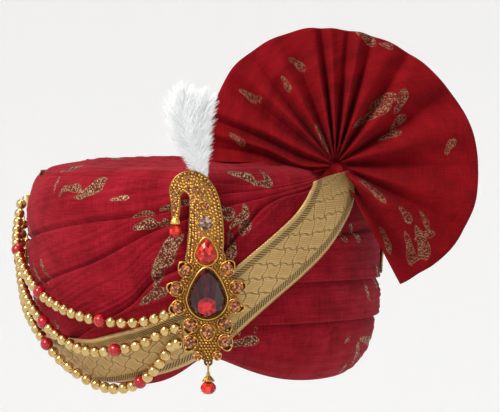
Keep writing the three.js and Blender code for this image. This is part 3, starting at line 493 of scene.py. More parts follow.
def foil_depth(u, v, strokes, wrap=False):
    """How far inside the nearest printed stroke each point lies, below 0 outside. A stroke runs between two
    ends; its half width is one less the fourth power of the share along it, drawn in at a waist and fuller
    to one end, and its middle line bows. Rows are the two ends, the half width and the bow."""
    depth = np.full(np.broadcast(u, v).shape, NO_FOIL)
    for u1, v1, u2, v2, half, bow in strokes:
        scale = PER_DEGREE if wrap else 1.0
        du = u - (u1 + u2) / 2
        du = ((du + 180) % 360 - 180) * scale if wrap else du
        dv = v - (v1 + v2) / 2
        run, rise = (u2 - u1) * scale / 2, (v2 - v1) / 2
        length = math.hypot(run, rise)
        s = (du * run + dv * rise) / length**2
        across = (dv * run - du * rise) / length - bow * (1 - s * s)
        s = s * 0.86
        waist = 1 - 0.25 * np.exp(-((s + 0.25) / 0.3) ** 2)
        room = 1.15 * half * np.clip(1 - s**4, -1, 1) * (1 + 0.35 * np.clip(s, -1, 1)) * waist
        depth = np.maximum(depth, room - np.abs(across))
    return depth


# Printed strokes on the front of the winding: turn and height of both ends, half width and bow.
BODY_STROKES = [
    (-54, 124, -55, 134, 1.1, 0.6), (-51, 123, -49, 129, 1.3, -0.5), (-50, 127, -41, 128, 2.0, 0.8),
    (-42, 123, -32, 133, 3.4, -0.9), (-60, 138, -53, 140.5, 1.3, 0.3), (-21, 112, -14, 115, 1.4, 0.7),
    (-20, 105, -13, 109, 2.9, 0.5), (-12, 107, -9, 110, 2.0, 0.3), (-12, 117, -8, 119, 1.4, 0.4),
    (-8, 101, -14, 70, 3.3, -1.6), (-5, 101, -10, 82, 2.6, -1.0), (-19, 57, -11, 66, 3.0, 0.8),
    (-8, 120, -2, 122, 1.7, 0.4), (6, 119, 10, 112, 3.4, 0.5), (14, 120, 13, 102, 3.2, 1.2),
    (9, 106, 13, 114, 1.8, -0.5), (9, 103, 9, 86, 2.8, 1.0), (5, 106, 6, 94, 2.0, -0.6),
    (11, 139, 19, 135, 2.0, 0.6), (23, 140, 24, 131, 2.4, 0.4), (18, 133, 24, 132, 1.6, 0.3),
    (49, 105, 50, 94, 1.7, -0.8), (54, 106, 57, 93, 1.9, -0.9), (8, 30, 17, 33, 2.8, 0.5),
    (11, 35, 11, 40, 1.1, 0.2), (16, 37, 17, 41, 1.1, 0.2), (62, 24, 68, 8, 3.0, 0.8),
    (64, 26, 80, 20, 2.4, 0.6), (60, 10, 63, 3, 1.9, 0.3), (74, 14, 78, 5, 2.2, -0.5),
    (53, 26, 56, 29, 1.4, 0.2), (-58, 65, -62, 80, 1.9, 0.6), (-66, 62, -70, 76, 1.7, 0.5),
    (-73, 88, -76, 101, 1.5, 0.5), (-60, 30, -58, 40, 1.8, 0.3), (-28, 122, -22, 124, 1.3, 0.3),
    (66, 52, 63, 63, 1.7, 0.4),
    (71, 76, 76, 58, 1.8, 0.8), (54, 129, 56, 117, 1.5, 0.6),
]
# One whole motif, in millimetres about its middle, and where it falls on the sides and back.
MOTIF = [
    (4, 22, -8, -10, 3.2, -1.6), (9, 20, 1, -4, 2.6, -1.0), (-13, 16, -2, 22, 2.8, 0.6),
    (-15, 24, -4, 29, 1.4, 0.6), (13, 14, 19, 2, 3.2, 0.9), (16, -2, 15, -18, 2.7, 1.0),
    (-14, -20, -2, -13, 3.0, 0.8), (4, -14, 8, -24, 2.0, 0.5),
]
MOTIF_PLACES = [
    (88, 40), (100, 104), (118, 66), (140, 28), (150, 110), (168, 72), (188, 34), (196, 116), (214, 78),
    (232, 36), (244, 110), (262, 70), (282, 34), (-86, 60), (-92, 118), (108, 132), (176, 138), (236, 138),
]


def body_strokes():
    """The front's strokes, with a motif at each of its places, every other one turned over."""
    rows = list(BODY_STROKES)
    for i, (turn, z) in enumerate(MOTIF_PLACES):
        hand = -1 if i % 2 else 1
        for u1, v1, u2, v2, half, bow in MOTIF:
            ends = (turn + hand * u1 / PER_DEGREE, z + v1, turn + hand * u2 / PER_DEGREE, z + v2)
            rows.append((*ends, half, hand * bow))
    return rows


PRINT_ON_BODY = body_strokes()


def cloth_uv(turn, z):
    """Cloth coordinates in centimetres: along the turn and up it."""
    return np.stack([turn * PER_DEGREE / 10, z / 10 + 0 * turn], axis=-1)


def edge_rows(count):
    """Shares from 0 to 1, closer together at both ends."""
    s = np.linspace(0, 1, count)
    return 0.35 * s + 0.65 * (0.5 - 0.5 * np.cos(math.pi * s))


def away_from_border(turn, z):
    """Share of its full height that the cloth's bulge has: none under either border, all 15 mm off them."""
    nearest = np.full(np.shape(turn), 1e9)
    for name, (start, end, half) in BORDER_RUNS.items():
        for at in np.linspace(start, end, 60):
            across = ((turn - at + 180) % 360 - 180) * PER_DEGREE
            nearest = np.minimum(nearest, np.hypot(across, z - fold[name](at)) - half)
    return ease((nearest - 1.0) / 14.0)


def sheet_mesh(name, face, under, step, uv, foil):
    """A printed sheet as one closed shell: its face, and back again over every few rows of its underside."""
    pairs = ((face, under), (uv, uv), (foil, foil))
    points, uv, foil = (np.concatenate([near_side, far[:, ::-step]], axis=1) for near_side, far in pairs)
    return mesh_of(name, [grid_part(points, close_v=True, caps=True)], uv=uv, marks={"foil": foil})


def wound_shell(name, turn, z, off, node_name):
    """A sheet wound on the body as a closed shell: its face at the offset, and its back under that."""
    face_z = np.clip(z, notch(turn) + 0.2, HEIGHT - 0.1)
    face, under = on_body(turn, face_z, off), on_body(turn, face_z, off - CLOTH)
    foil = foil_depth(turn, z, PRINT_ON_BODY, wrap=True)
    mesh = sheet_mesh(name, face, under, 4, cloth_uv(turn, z), foil)
    piece = place(name, mesh, CRIMSON, "cloth", node_name)


def ring_mesh(name, points, turn, rows):
    """A turn of cloth that closes on itself, printed by its turns and its rows up the body."""
    turns = turn + 0 * rows
    marks = {"foil": foil_depth(turns, rows, PRINT_ON_BODY, wrap=True)}
    part = grid_part(points, close_u=True, close_v=True)
    return mesh_of(name, [part], uv=cloth_uv(turns, rows), marks=marks)


def wound_turn(name, span, low_at, high_at, proud_low, proud_high, seed, node_name, steps=480):
    """A turn of cloth between two fold lines. Across it the height runs from the lower line to the upper. Its
    offset is a soft bulge plus creases. A proud edge swells and curls back into the seam, and the other kind
    slides under its neighbour."""
    tau = np.linspace(*span, steps)
    low = low_at(tau)
    high = np.maximum(high_at(tau), low + 0.6)
    tall = (high - low)[:, None]
    over_low, over_high = proud_low(tau)[:, None], proud_high(tau)[:, None]
    v = edge_rows(44)[None, :]
    z = low[:, None] + v * tall
    turn = tau[:, None] + HUB + 0 * z
    from_low, from_high = v * tall, (1 - v) * tall
    share = np.clip(tall / 22.0, 0.12, 1)
    room = np.clip(tall / 9.0, 0.15, 1)
    free = away_from_border(turn - HUB, z)
    off = (0.4 + 2.2 * np.sin(math.pi * v) ** 0.8 * share) * free
    reach = 6.0 * share + 0.8
    proud = near(from_high, reach) * over_high + near(from_low, reach) * over_low
    tucked = near(from_high, 2.6 * room) * (1 - over_high) + near(from_low, 2.6 * room) * (1 - over_low)
    curl = near(from_high, 0.8) * over_high + near(from_low, 0.8) * over_low
    off = off + 2.0 * share * free * proud - 3.0 * room * tucked - 3.2 * room * curl
    calm = np.clip(np.minimum(from_low, from_high) / 5.0, 0, 1) * (0.3 + 0.7 * free) * share
    fine = ripple(turn, from_low * 1.5 + 30, seed + 50, count=8, pace=(2, 6), grain=(0.10, 0.22))
    off = off + calm * (0.95 * ripple(turn, from_low + 0.3 * tall * v, seed) + 0.22 * fine)
    slide = near(from_high, 1.5) * (1 - over_high) - near(from_low, 1.5) * (1 - over_low)
    z = z + 2.4 * room * slide
    wound_shell(name, turn, z, off, node_name)


def below(tau):
    """The border's line where it crosses the lower turns' beginnings, at turns before the hub."""
    return fold["border"](tau + 360.0)


def upper_top(tau):
    """Top of the second turn: beside the hub it starts at the border's end and climbs to the first turn."""
    start = fold["border"](360.0)
    climb = start + (fold["top"](tau) + 1.0 - start) * ease(tau / 8.0)
    return np.where(tau < 0, below(tau), np.where(tau < 8, climb, fold["top"](tau)))


def lower_turn_line(tau):
    """Where the lowest turn meets the one above: the lower fold, then the border's line at the front."""
    blend = ease((tau - 200) / 25.0)
    line = fold["lower"](tau) * (1 - blend) + fold["border"](tau) * blend
    line = np.where(tau > 315, np.minimum(fold["lower"](tau - 360), fold["border"](tau)), line)
    return np.where(tau < 0, np.minimum(fold["lower"](tau), below(tau)), line)


def over_from(tau):
    """1 where the upper neighbour lies over (right and back), easing to 0 on the left."""
    return np.clip((150.0 - tau) / 60.0, 0, 1)


def under_from(tau):
    """The rest of over_from: 1 on the left, easing to 0 at the right and back."""
    return 1 - over_from(tau)


def never(tau):
    """0 at every turn."""
    return 0 * tau


def always(tau):
    """1 at every turn."""
    return 1 + 0 * tau


def capped_by(name):
    """Top of a turn: the fold named, held under the front border before the hub."""
    return lambda tau: np.minimum(fold[name](tau), np.where(tau < 0, below(tau), HEIGHT))


def lowest_turn(tau):
    """Bottom of the lower turn: past the left side the gusset or the border, whichever is higher."""
    return np.where(tau > 250, np.maximum(fold["gusset"](tau), fold["border"](tau)), lower_turn_line(tau))


wound_turn("wound_upper", (-9, 360), fold["upper"], upper_top, never, always, 3, "wrap_2_upper")
wound_turn(
    "wound_middle", (-28, 360), fold["middle"], capped_by("upper"), over_from, always, 4, "wrap_3_middle",
)
wound_turn(
    "wound_lower", (-44, 360), lowest_turn, capped_by("middle"), over_from, under_from, 5, "wrap_4_lower",
)
wound_turn(
    "wound_gusset", (258, 360), fold["border"], fold["gusset"], never, always, 6, "wrap_gusset",
    steps=200,
)

# The rim.
# The lowest turn is pulled round the edge of the cap, so the edge is a soft roll with the cloth tucked
# inside. It follows the lift over the forehead.


def rim_turn():
    """The rim's cloth as one closed ring. Down the outside its offset is a low bulge with creases. Under the
    edge it turns through half an ellipse, and inside it climbs again."""
    tau = np.linspace(0, 360, 480, endpoint=False)
    turn = (tau + HUB)[:, None]
    low = notch(turn) + 0.6
    high = lower_turn_line(tau)[:, None]
    tall = high - low
    v = edge_rows(30)[::-1][None, :]
    z = low + v * tall
    from_low, from_high = v * tall, (1 - v) * tall
    free = away_from_border(tau[:, None] + 0 * z, z)
    over_high = (1 - over_from(tau))[:, None] * np.clip((262 - tau) / 10, 0, 1)[:, None]
    swell = 1.3 * np.sin(math.pi * v) ** 0.7 + 1.6 * near(from_high, 4.5) * over_high
    seam = near(from_high, 2.6) * (1 - over_high), near(from_high, 0.9) * over_high
    off = 0.5 + free * swell - 3.2 * seam[0] - 3.2 * seam[1]
    calm = np.clip(np.minimum(from_low + 1.5, from_high) / 4.0, 0, 1) * (0.3 + 0.7 * free)
    fine = ripple(turn + 0 * z, from_low * 2, 57, count=8, pace=(3, 8))
    off = off + calm * (0.8 * ripple(turn + 0 * z, from_low, 7) + 0.3 * fine)
    z = z + 2.4 * near(from_high, 1.5) * (1 - over_high)
    swing = np.linspace(0, math.pi, 9)[None, 1:-1]
    last = off[:, -1:]
    under = on_body(turn, low, (last - RIM_ROLL) / 2 + (last + RIM_ROLL) / 2 * np.cos(swing))
    under[..., 2] = low - 1.1 * np.sin(swing)
    inside = on_body(turn, low + np.array([[0.0, 5.0, 12.0]]) * np.clip(tall / 16, 0.3, 1), -RIM_ROLL)
    back = on_body(turn, high + 0.6, -3.6)
    points = np.concatenate([on_body(turn, np.clip(z, low, HEIGHT), off), under, inside, back], axis=1)
    rows = np.concatenate([z, z[:, -1:] - np.arange(1, 12)[None, :] * 0.8], axis=1)
    return ring_mesh("wound_rim", points, turn, rows)


wound_rim = place("wound_rim", rim_turn(), CRIMSON, "cloth", "wrap_5_rim")

# The top turn.
# The last turn of the winding lies on the shoulder of the cap and is folded in over its top edge.


def top_turn():
    """The top turn as a closed ring: up the outside from its fold, over the shoulder in a soft arc, and back
    under itself."""
    tau = np.linspace(0, 360, 480, endpoint=False)
    turn = (tau + HUB)[:, None]
    low = fold["top"](tau)[:, None]
    v = edge_rows(22)[None, :]
    z = low + v * (HEIGHT - low)
    from_low = z - low
    free = away_from_border(tau[:, None] + 0 * z, z)
    creases = ripple(turn + 0 * z, from_low * 2, 8, pace=(1, 5)) * np.clip(from_low / 2.5, 0, 1)
    off = 0.6 + free * (1.2 * np.sin(math.pi * v) + 0.7 * creases) - 2.2 * near(from_low, 1.0)
    z = z - 2.4 * near(from_low, 1.2)
    s = np.linspace(0, 1, 12)[None, 1:]
    a = np.radians(turn)
    crumple = 0.9 * ripple(turn + 0 * s, 6.0 + 22.0 * s, 9, pace=(2, 9)) * np.sin(math.pi * s) ** 0.5
    out = 0.72 - 0.13 * s
    up = HEIGHT + 1.9 * np.sin(math.pi * s) + 0.6 * s + crumple
    over = on_crown(a, out, up)
    back = on_body(turn, np.array([[HEIGHT - 1.5, HEIGHT - 6.0]]), -4.5)
    points = np.concatenate([on_body(turn, z, off), over, back], axis=1)
    inner_rows = np.array([[18.0, 22.0]])
    rows = np.concatenate([z, HEIGHT + 16 * s + 0 * turn, HEIGHT + inner_rows + 0 * turn], axis=1)
    return ring_mesh("wound_top", points, turn, rows)


wound_top = place("wound_top", top_turn(), CRIMSON, "cloth", "wrap_1_top")

# The cap.
# A padded cap with the head's hollow inside. Crumpled cloth shows on its crown, where the winding ends.


def cap_mesh():
    """One closed surface: from the pole inside the hollow, down the lining, round the lip, up the hidden side
    and in over the crown to the top pole. Each pole is a small ring drawn in to a face."""
    turn = np.linspace(0, 360, 300, endpoint=False)[:, None]
    a = np.radians(turn)
    lift = notch(turn)
    down = np.array([[1.0, 0.9, 0.75, 0.6, 0.4, 0.2, 0.0]])
    share = np.array([[0.02, 0.62, 0.83, 0.94, 0.975, 0.99, 1.0]])
    rise = 3.0 + lift * (1 - down) ** 3
    z_in = rise + (HOLLOW_TOP - rise) * down
    hollow = np.stack([HOLLOW_WIDTH * share * np.sin(a), -HOLLOW_DEPTH * share * np.cos(a), z_in], axis=-1)
    z_out = np.array([[4.0, 20.0, 55.0, 95.0, 122.0, 134.0, 140.0]])
    side = on_body(turn, z_out + lift * (1 - z_out / HEIGHT) ** 2, -8.0)
    s = np.linspace(0, 1, 34)[None, 1:]
    out = 0.66 * (1 - s) + 0.004 * s
    swirl = turn + 70 * s
    gathers = 0.5 * np.sin(np.radians(swirl * 19)) + 1.2 * ripple(swirl, 22 * s, 11, pace=(3, 13))
    fade = np.sin(math.pi * np.clip(s, 0, 0.98)) ** 0.6
    up = 142.6 + 4.2 * np.sin(0.5 * math.pi * s) + 1.4 * gathers * fade
    crown = on_crown(a, out, up)
    points = np.concatenate([hollow, side, crown], axis=1)
    rows = np.concatenate([z_in, z_out + 0 * turn, HEIGHT + 80 * s + 0 * turn], axis=1)
    uv = cloth_uv(turn + 0 * rows, rows)
    return mesh_of("cap", [poled_part(points)], uv=uv, marks={"foil": 0 * rows + NO_FOIL})


cap = place("cap", cap_mesh(), CRIMSON, "cloth", "crown_cap")

# The brocade borders.
# Woven gold borders stitched over the winding: gold edges, dark rope lines and a field of pointed scales.


def ribbon(name, run, thickness, lift, steps, end_lift=0, slant=0, forward=0):
    """A woven ribbon on the body along a border's fold line. At each turn the line's direction, in distance
    round and distance up, is turned a quarter to give the way across. Points are set out along it and lifted
    off the cloth. Its last end can be cut on a slant, stands straight up past the shoulder, and has its
    longer side drawn forward."""
    start, end, half = BORDER_RUNS[run]
    heights = np.linspace(0, HEIGHT, 600)
    bulge = body_out(heights / HEIGHT) * HALF_WIDTH
    climbs = np.concatenate([[0], np.cumsum(np.hypot(np.diff(heights), np.diff(bulge)))])
    tau = np.linspace(start, end, steps)
    z0 = fold[run](tau)
    girth = PER_DEGREE * body_out(z0 / HEIGHT)
    around = np.concatenate([[0], np.cumsum(np.diff(tau) * 0.5 * (girth[1:] + girth[:-1]))])
    climb = np.interp(z0, heights, climbs)
    du, dw = np.gradient(around), np.gradient(climb)
    length = np.hypot(du, dw)
    along = np.concatenate([[0], np.cumsum(0.5 * (length[1:] + length[:-1]))])
    face_rows, back_rows = 27, 7
    across = [np.linspace(-half, half, face_rows), np.linspace(half, -half, back_rows)]
    across = np.concatenate(across)[None, :]
    face = np.concatenate([np.ones(face_rows), np.zeros(back_rows)])[None, :]
    edge = np.clip((half - np.abs(across)) / 0.8, 0, 1)
    last = ease((tau - end + 16) / 16)[:, None]
    stretch = -slant * across * last
    wave = 0.25 * np.sin(along[:, None] / 9.0 + across / 6.0)
    under = lift + end_lift * ease((tau - end + 22) / 16)
    off = under[:, None] + face * thickness * (0.45 + 0.55 * edge) + wave
    way_u, way_w = (du / length)[:, None], (dw / length)[:, None]
    turn = tau[:, None] + (-way_w * across + way_u * stretch) / girth[:, None]
    up = np.interp(climb[:, None] + way_u * across + way_w * stretch, climbs, heights)
    shoulder = HEIGHT - 9.0
    points = on_body(turn + HUB, np.clip(up, notch(turn + HUB) + 0.5, HEIGHT - 0.5), off)
    upright = on_body(turn + HUB, np.minimum(up, shoulder), off)
    upright[..., 2] += np.maximum(up - shoulder, 0)
    points = points + (upright - points) * last[..., None]
    points[..., 1] -= forward * last * ease((half - across) / (2 * half))
    uv = np.stack(np.broadcast_arrays((along[:, None] + stretch) / 10, across / 10), axis=-1)
    return mesh_of(name, [grid_part(points, close_v=True, caps=True)], uv=uv)


# In centimetres on the ribbon: a scale's length and width, half the field, and the ropes from the middle.
SCALE_LENGTH, SCALE_WIDTH, FIELD_EDGE, ROPE_AT = 1.55, 1.12, 1.12, 1.27


def brocade():
    """Woven gold. The scales are a lattice of two sets of slanting lines: shares of the distances along and
    across, added or taken away, bowed by a sine and bent by a slow noise. Olive thread draws them, with a
    hatch inside, between dark twisted ropes and plain gold edges."""
    material, tree, shader = bare_material("gold_brocade")
    cloth = node(tree, "ShaderNodeUVMap", uv_map="cloth").outputs[0]
    wobble = node(tree, "ShaderNodeTexNoise", {"Vector": cloth, "Scale": 1.1, "Detail": 0.0}).outputs[0]
    bend = node(tree, "ShaderNodeTexNoise", {"Vector": cloth, "Scale": 1.9, "Detail": 0.0}).outputs[0]
    split = node(tree, "ShaderNodeSeparateXYZ", {0: cloth})
    along = maths(tree, "MULTIPLY_ADD", wobble, 0.34, split.outputs[0])
    across = maths(tree, "MULTIPLY_ADD", bend, 0.24, maths(tree, "ADD", split.outputs[1], -0.12))
    side = maths(tree, "ABSOLUTE", split.outputs[1])
    u, v = maths(tree, "DIVIDE", along, SCALE_LENGTH), maths(tree, "DIVIDE", across, SCALE_WIDTH)
    u = maths(tree, "MULTIPLY_ADD", maths(tree, "SINE", maths(tree, "MULTIPLY", v, 4 * math.pi)), 0.07, u)
    one = maths(tree, "PINGPONG", maths(tree, "ADD", u, v), 0.5)
    other = maths(tree, "PINGPONG", maths(tree, "SUBTRACT", u, v), 0.5)
    lattice = maths(tree, "MINIMUM", one, other)
    field = maths(tree, "LESS_THAN", side, FIELD_EDGE)
    line = maths(tree, "MULTIPLY", maths(tree, "MULTIPLY", ranged(tree, lattice, 0.065, 0.025), field), 0.7)
    leaf = {"Vector": cloth, "Scale": 3.4, "Distortion": 2.5}
    hatch = node(tree, "ShaderNodeTexWave", leaf, bands_direction="DIAGONAL").outputs[1]
    slope = maths(tree, "MULTIPLY_ADD", split.outputs[0], 4.6, maths(tree, "MULTIPLY", side, 5.0))
    strand = maths(tree, "PINGPONG", slope, 0.5)
    from_rope = maths(tree, "ABSOLUTE", maths(tree, "SUBTRACT", side, ROPE_AT))
    rope = maths(tree, "MULTIPLY", ranged(tree, from_rope, 0.21, 0.15), ranged(tree, strand, 0.06, 0.26))
    figure = maths(tree, "MAXIMUM", line, rope)
    inner = maths(tree, "MULTIPLY", maths(tree, "MULTIPLY", ranged(tree, lattice, 0.10, 0.30), field), hatch)
    ground = mixed(tree, hatch, (0.46, 0.29, 0.10), (0.66, 0.44, 0.18))
    shaded = mixed(tree, maths(tree, "MULTIPLY", inner, 0.5), ground, (0.33, 0.20, 0.06))
    height = maths(tree, "MULTIPLY_ADD", figure, -0.7, maths(tree, "MULTIPLY", hatch, 0.5))
    feed(tree, shader, {
        "Base Color": mixed(tree, figure, shaded, (0.15, 0.085, 0.02)),
        "Roughness": maths(tree, "MULTIPLY_ADD", figure, 0.2, 0.40),
        "Metallic": maths(tree, "MULTIPLY_ADD", figure, -0.4, 0.7),
        "Normal": bumped(tree, height, 0.6, 0.0006),
    })
    return material


BROCADE = brocade()
front_ribbon = ribbon("border", "border", 1.6, 1.3, 560, end_lift=2.2, slant=1.0, forward=13.0)
border = place("border", front_ribbon, BROCADE, "brocade", "border_front")
back_ribbon = ribbon("border_round", "back_border", 1.4, 1.7, 420)
border_round = place("border_round", back_ribbon, BROCADE, "brocade", "border_back")

# The fan.
# A length of the same cloth, with a darker copy of its material as painted shade, pleated and gathered at
# its neck, which spreads over the top right. Its pleats are deep at the hub and open out to a soft scalloped
# edge.
# A darker copy of the crimson cotton as painted shade, with less sheen and less of its foil left.
CRIMSON_PAINTED_SHADE = cotton(
    "crimson_cotton_painted_shade", (0.12, 0.001, 0.003), (0.20, 0.002, 0.005), (0.29, 0.004, 0.009), 0.04, left=0.55
)
FAN_AT = np.array([86.986, -84.042, 144.7])
FAN_MOUTH, NECK_BACK = 4.5, 9.0
FAN_RIDGES = [-61.5, -41, -14, 14, 47, 66, 79, 90, 101, 118, 134, 153, 167, 179]
fan_reach = smooth_line(
    (-62, 89.8), (-45, 93.1), (-25, 96), (0, 96), (20, 93.6), (45, 89.8), (66, 88.8), (85, 89.3), (105, 92.2),
    (135, 93.1), (156, 88.3), (179, 83.5),
)
fan_depth = smooth_line((0.0, 1.8), (0.08, 3.8), (0.2, 6.6), (0.4, 6.6), (0.7, 4.4), (1.0, 2.2))
# Printed strokes on the fan: right of the hub and above it, for both ends, half width and bow.
FAN_STROKES = [
    (-63, 49, -52, 41, 2.1, 0.6), (-49, 40, -50, 45, 1.4, 0.3), (-13, 26, -5, 9, 1.6, 0.3),
    (15, 88, 27, 79, 2.4, 0.5), (30, 80, 39, 77, 1.6, 0.3), (24, 37, 41, 45, 3.0, 0.8),
    (13, 25, 36, 38, 2.5, 0.6), (40, 34, 47, 49, 2.7, -0.8), (38, 22, 47, 32, 2.5, 0.6),
    (30, 16, 44, 21, 1.7, 0.5),
    (16, -10, 32, -24, 1.8, 0.5), (42, -28, 49, -38, 2.2, 0.6), (46, -45, 51, -66, 2.4, 0.8),
    (53, -41, 60, -62, 3.4, 0.9), (52, -50, 65, -45, 2.2, 0.6), (50, -66, 62, -57, 2.1, 0.5),
    (30, -42, 36, -58, 1.7, 0.5), (56, -31, 61, -42, 1.6, 0.4), (-30, 70, -20, 62, 2.2, 0.6),
    (-35, 58, -30, 48, 1.8, 0.5), (74, 6, 80, 16, 2.2, 0.6), (-70, 20, -60, 12, 1.9, 0.5),
]


def fan_mesh():
    """The fan as a closed shell over angle and share of reach. Its pleats are a wave with broad ridges and
    narrow valleys that fall on the listed angles, and finer pleats ride on it near the hub. The cloth leans
    back as it rises, bellies forward on its lower right and dips behind the hub on its left. At the neck it
    is drawn in and back."""
    valleys = [(a + b) / 2 for a, b in zip(FAN_RIDGES, FAN_RIDGES[1:])]
    knots = np.sort(np.array(FAN_RIDGES + valleys))
    angle = np.linspace(FAN_RIDGES[0], FAN_RIDGES[-1], 640)[:, None]
    phase = np.interp(angle, knots, np.arange(len(knots)) * math.pi)
    out = np.linspace(0, 1, 62)[None, :] ** 1.2
    reach = fan_reach(angle) + 0.25 * np.cos(phase)
    r = FAN_MOUTH + (reach - FAN_MOUTH) * out
    ridge = 2 * (0.5 + 0.5 * np.cos(phase + 0.4 * np.sin(phase * 0.5 + 1.0))) ** 0.55 - 1
    fine = 0.9 * np.sin(phase * 1.7 + 0.4) * out
    soft = 0.7 * ripple(angle + 0 * r, r * 0.6, 21, pace=(2, 7), grain=(0.01, 0.05))
    depth = fan_depth(out) * ridge + fine * np.clip(out * 6, 0, 1) + soft * np.clip(out * 2, 0, 1)
    low = ease((-angle - 5) / 40)
    push = 9 * low * np.sin(math.pi * np.clip(out * 1.1, 0, 1))
    behind = 7.0 * near(r, 24.0) * ease((30 - angle) / 40)
    y = FAN_AT[1] + 0.24 * ease((angle + 30) / 60) * r - push - depth + behind
    drawn = np.array([[0.25, 0.5, 0.8]])
    r = np.concatenate([FAN_MOUTH * drawn + 0 * angle, r], axis=1)
    y = np.concatenate([y[:, :1] + NECK_BACK * (1 - drawn), y], axis=1)
    a = np.radians(angle)
    sunk = 7.0 * ease((angle - 148) / 25) * near(r - 22.0, 18.0)
    front = np.stack([FAN_AT[0] + r * np.cos(a), y, FAN_AT[2] + r * np.sin(a) - sunk], axis=-1)
    under = front + np.array([0, 1.3, 0])
    uv = np.stack([a * (12 + r) / 10, r / 10], axis=-1)
    return sheet_mesh("fan", front, under, 3, uv, foil_depth(r * np.cos(a), r * np.sin(a), FAN_STROKES))


fan = place("fan", fan_mesh(), CRIMSON_PAINTED_SHADE, "cloth", "turra_fan")


def neck_mesh():
    """The fan's gathered neck: a fluted plug from the mouth down behind the border into the winding."""
    a = circle(72)[:, None]
    s = np.linspace(0, 1, 16)[None, :]
    flute = 1 + 0.10 * np.cos(a * 11) * np.sin(math.pi * s) + 0.04 * np.cos(a * 5 + 1)
    r = (1.0 + 8.5 * np.sin(math.pi * np.clip(s, 0, 0.5)) + 4.0 * s) * flute
    x = FAN_AT[0] - 6.0 * s + 1.5 * r * np.cos(a)
    y = FAN_AT[1] + NECK_BACK + 3.0 * s + 0.8 * r * np.sin(a)
    points = np.stack([x, y, FAN_AT[2] + 3.5 - 17.0 * s + 0 * a], axis=-1)
    uv = np.stack([a * 0.8 + 0 * s, s * 1.7 + 0 * a], axis=-1)
    return mesh_of("fan_neck", [poled_part(points)], uv=uv, marks={"foil": 0 * r + NO_FOIL})


# The neck takes the same darker copy of the cotton, as painted shade.
neck = place("fan_neck", neck_mesh(), CRIMSON_PAINTED_SHADE, "cloth")

# The brooch.
# A cast brooch, gilded and set with paste stones: a curled stem crusted with small grains, a backing plate
# under the large pear, wire petals for the amber stones, and a ribbed cap at its hooked tip.
stone_low, stone_high = (np.array(corner) * 1000.0 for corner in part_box("stone_main_pear"))
BROOCH_AT = np.array([(stone_low[0] + stone_high[0]) / 2, stone_high[1] + 3.95, stone_low[2] + 16.6])
AMBER_STONES = [
    (-13.4, 14.1, 4.0), (-19.6, 2.2, 4.0), (-18.2, -9.6, 4.0), (-10.4, -21.0, 4.0), (-10.6, -31.8, 4.0),
    (0.4, -24.6, 4.0), (11.0, -20.0, 4.0), (11.4, -31.2, 4.0), (17.6, -8.6, 4.0), (18.8, 3.2, 4.0),
    (12.8, 14.8, 4.0), (-1.8, 54.6, 2.8), (-3.6, 63.4, 2.6), (-5.8, -40.2, 2.1), (6.2, -40.0, 2.1),
]
ROSE_STONE = (-1.0, 44.2, 4.6)
RED_PEAR = ((-0.6, 24.0), 6.8, 10.4, 6.4)
MAIN_PEAR = ((0.0, -3.6), 12.4, 19.0, 13.0)
# Three circles over the red pear's setting, where no grain stands, and how far a pear narrows at its top.
RED_PEAR_ROOM = ((-0.6, 26.0, 7.6), (-0.6, 21.0, 7.4), (-0.6, 32.0, 4.0))
PEAR_NECK = 0.32
TIP_SIDE, TIP_FORWARD = -20.0, 2.0
STEM_OUTER = [
    (9.5, 19), (10.1, 36), (8.8, 52), (5.1, 65), (-0.6, 72.7), (-7.6, 76.4), (-15.2, 75.8), (-20.9, 71.4),
    (-23.4, 65.1), (-22.3, 56), (-21.9, 46.6),
]
STEM_INNER = [
    (-13, 19), (-11.4, 40), (-10.7, 54), (-11.2, 61), (-14.3, 64), (-17, 61.5), (-17.2, 56), (-18.1, 46.6),
]
BACKING = [
    (10.5, 26), (12.8, 14.8), (18.8, 3.2), (17.6, -8.6), (11, -20), (11.4, -31.2), (6.2, -40), (0.6, -44.4),
    (-5.8, -40.2), (-10.6, -31.8), (-10.4, -21), (-18.2, -9.6), (-19.6, 2.2), (-13.4, 14.1), (-13, 26),
]
PLATE = 2.2
LUG, LUG_RADIUS = (0.6, -44.4), 2.1
# Walls of the settings, outside and up to the rim, then inside and down: heights above the back.
LOW_WALL = (0.4, 2.6, 3.6, 3.5, 3.0, 1.0)
ROSE_WALL = (0.4, 2.9, 3.8, 3.7, 3.0, 1.0)
PEAR_WALL = (0.4, 2.9, 3.9, 3.9, 3.2, 1.0)


def from_brooch(parts):
    """Parts drawn on the brooch, right, up and forward of its middle, moved to their place on the turban."""
    moved = []
    for points, faces in parts:
        spot = np.stack([points[:, 0], -points[:, 2], points[:, 1]], axis=-1) + BROOCH_AT
        moved.append((spot, outward(spot, faces)))
    return moved


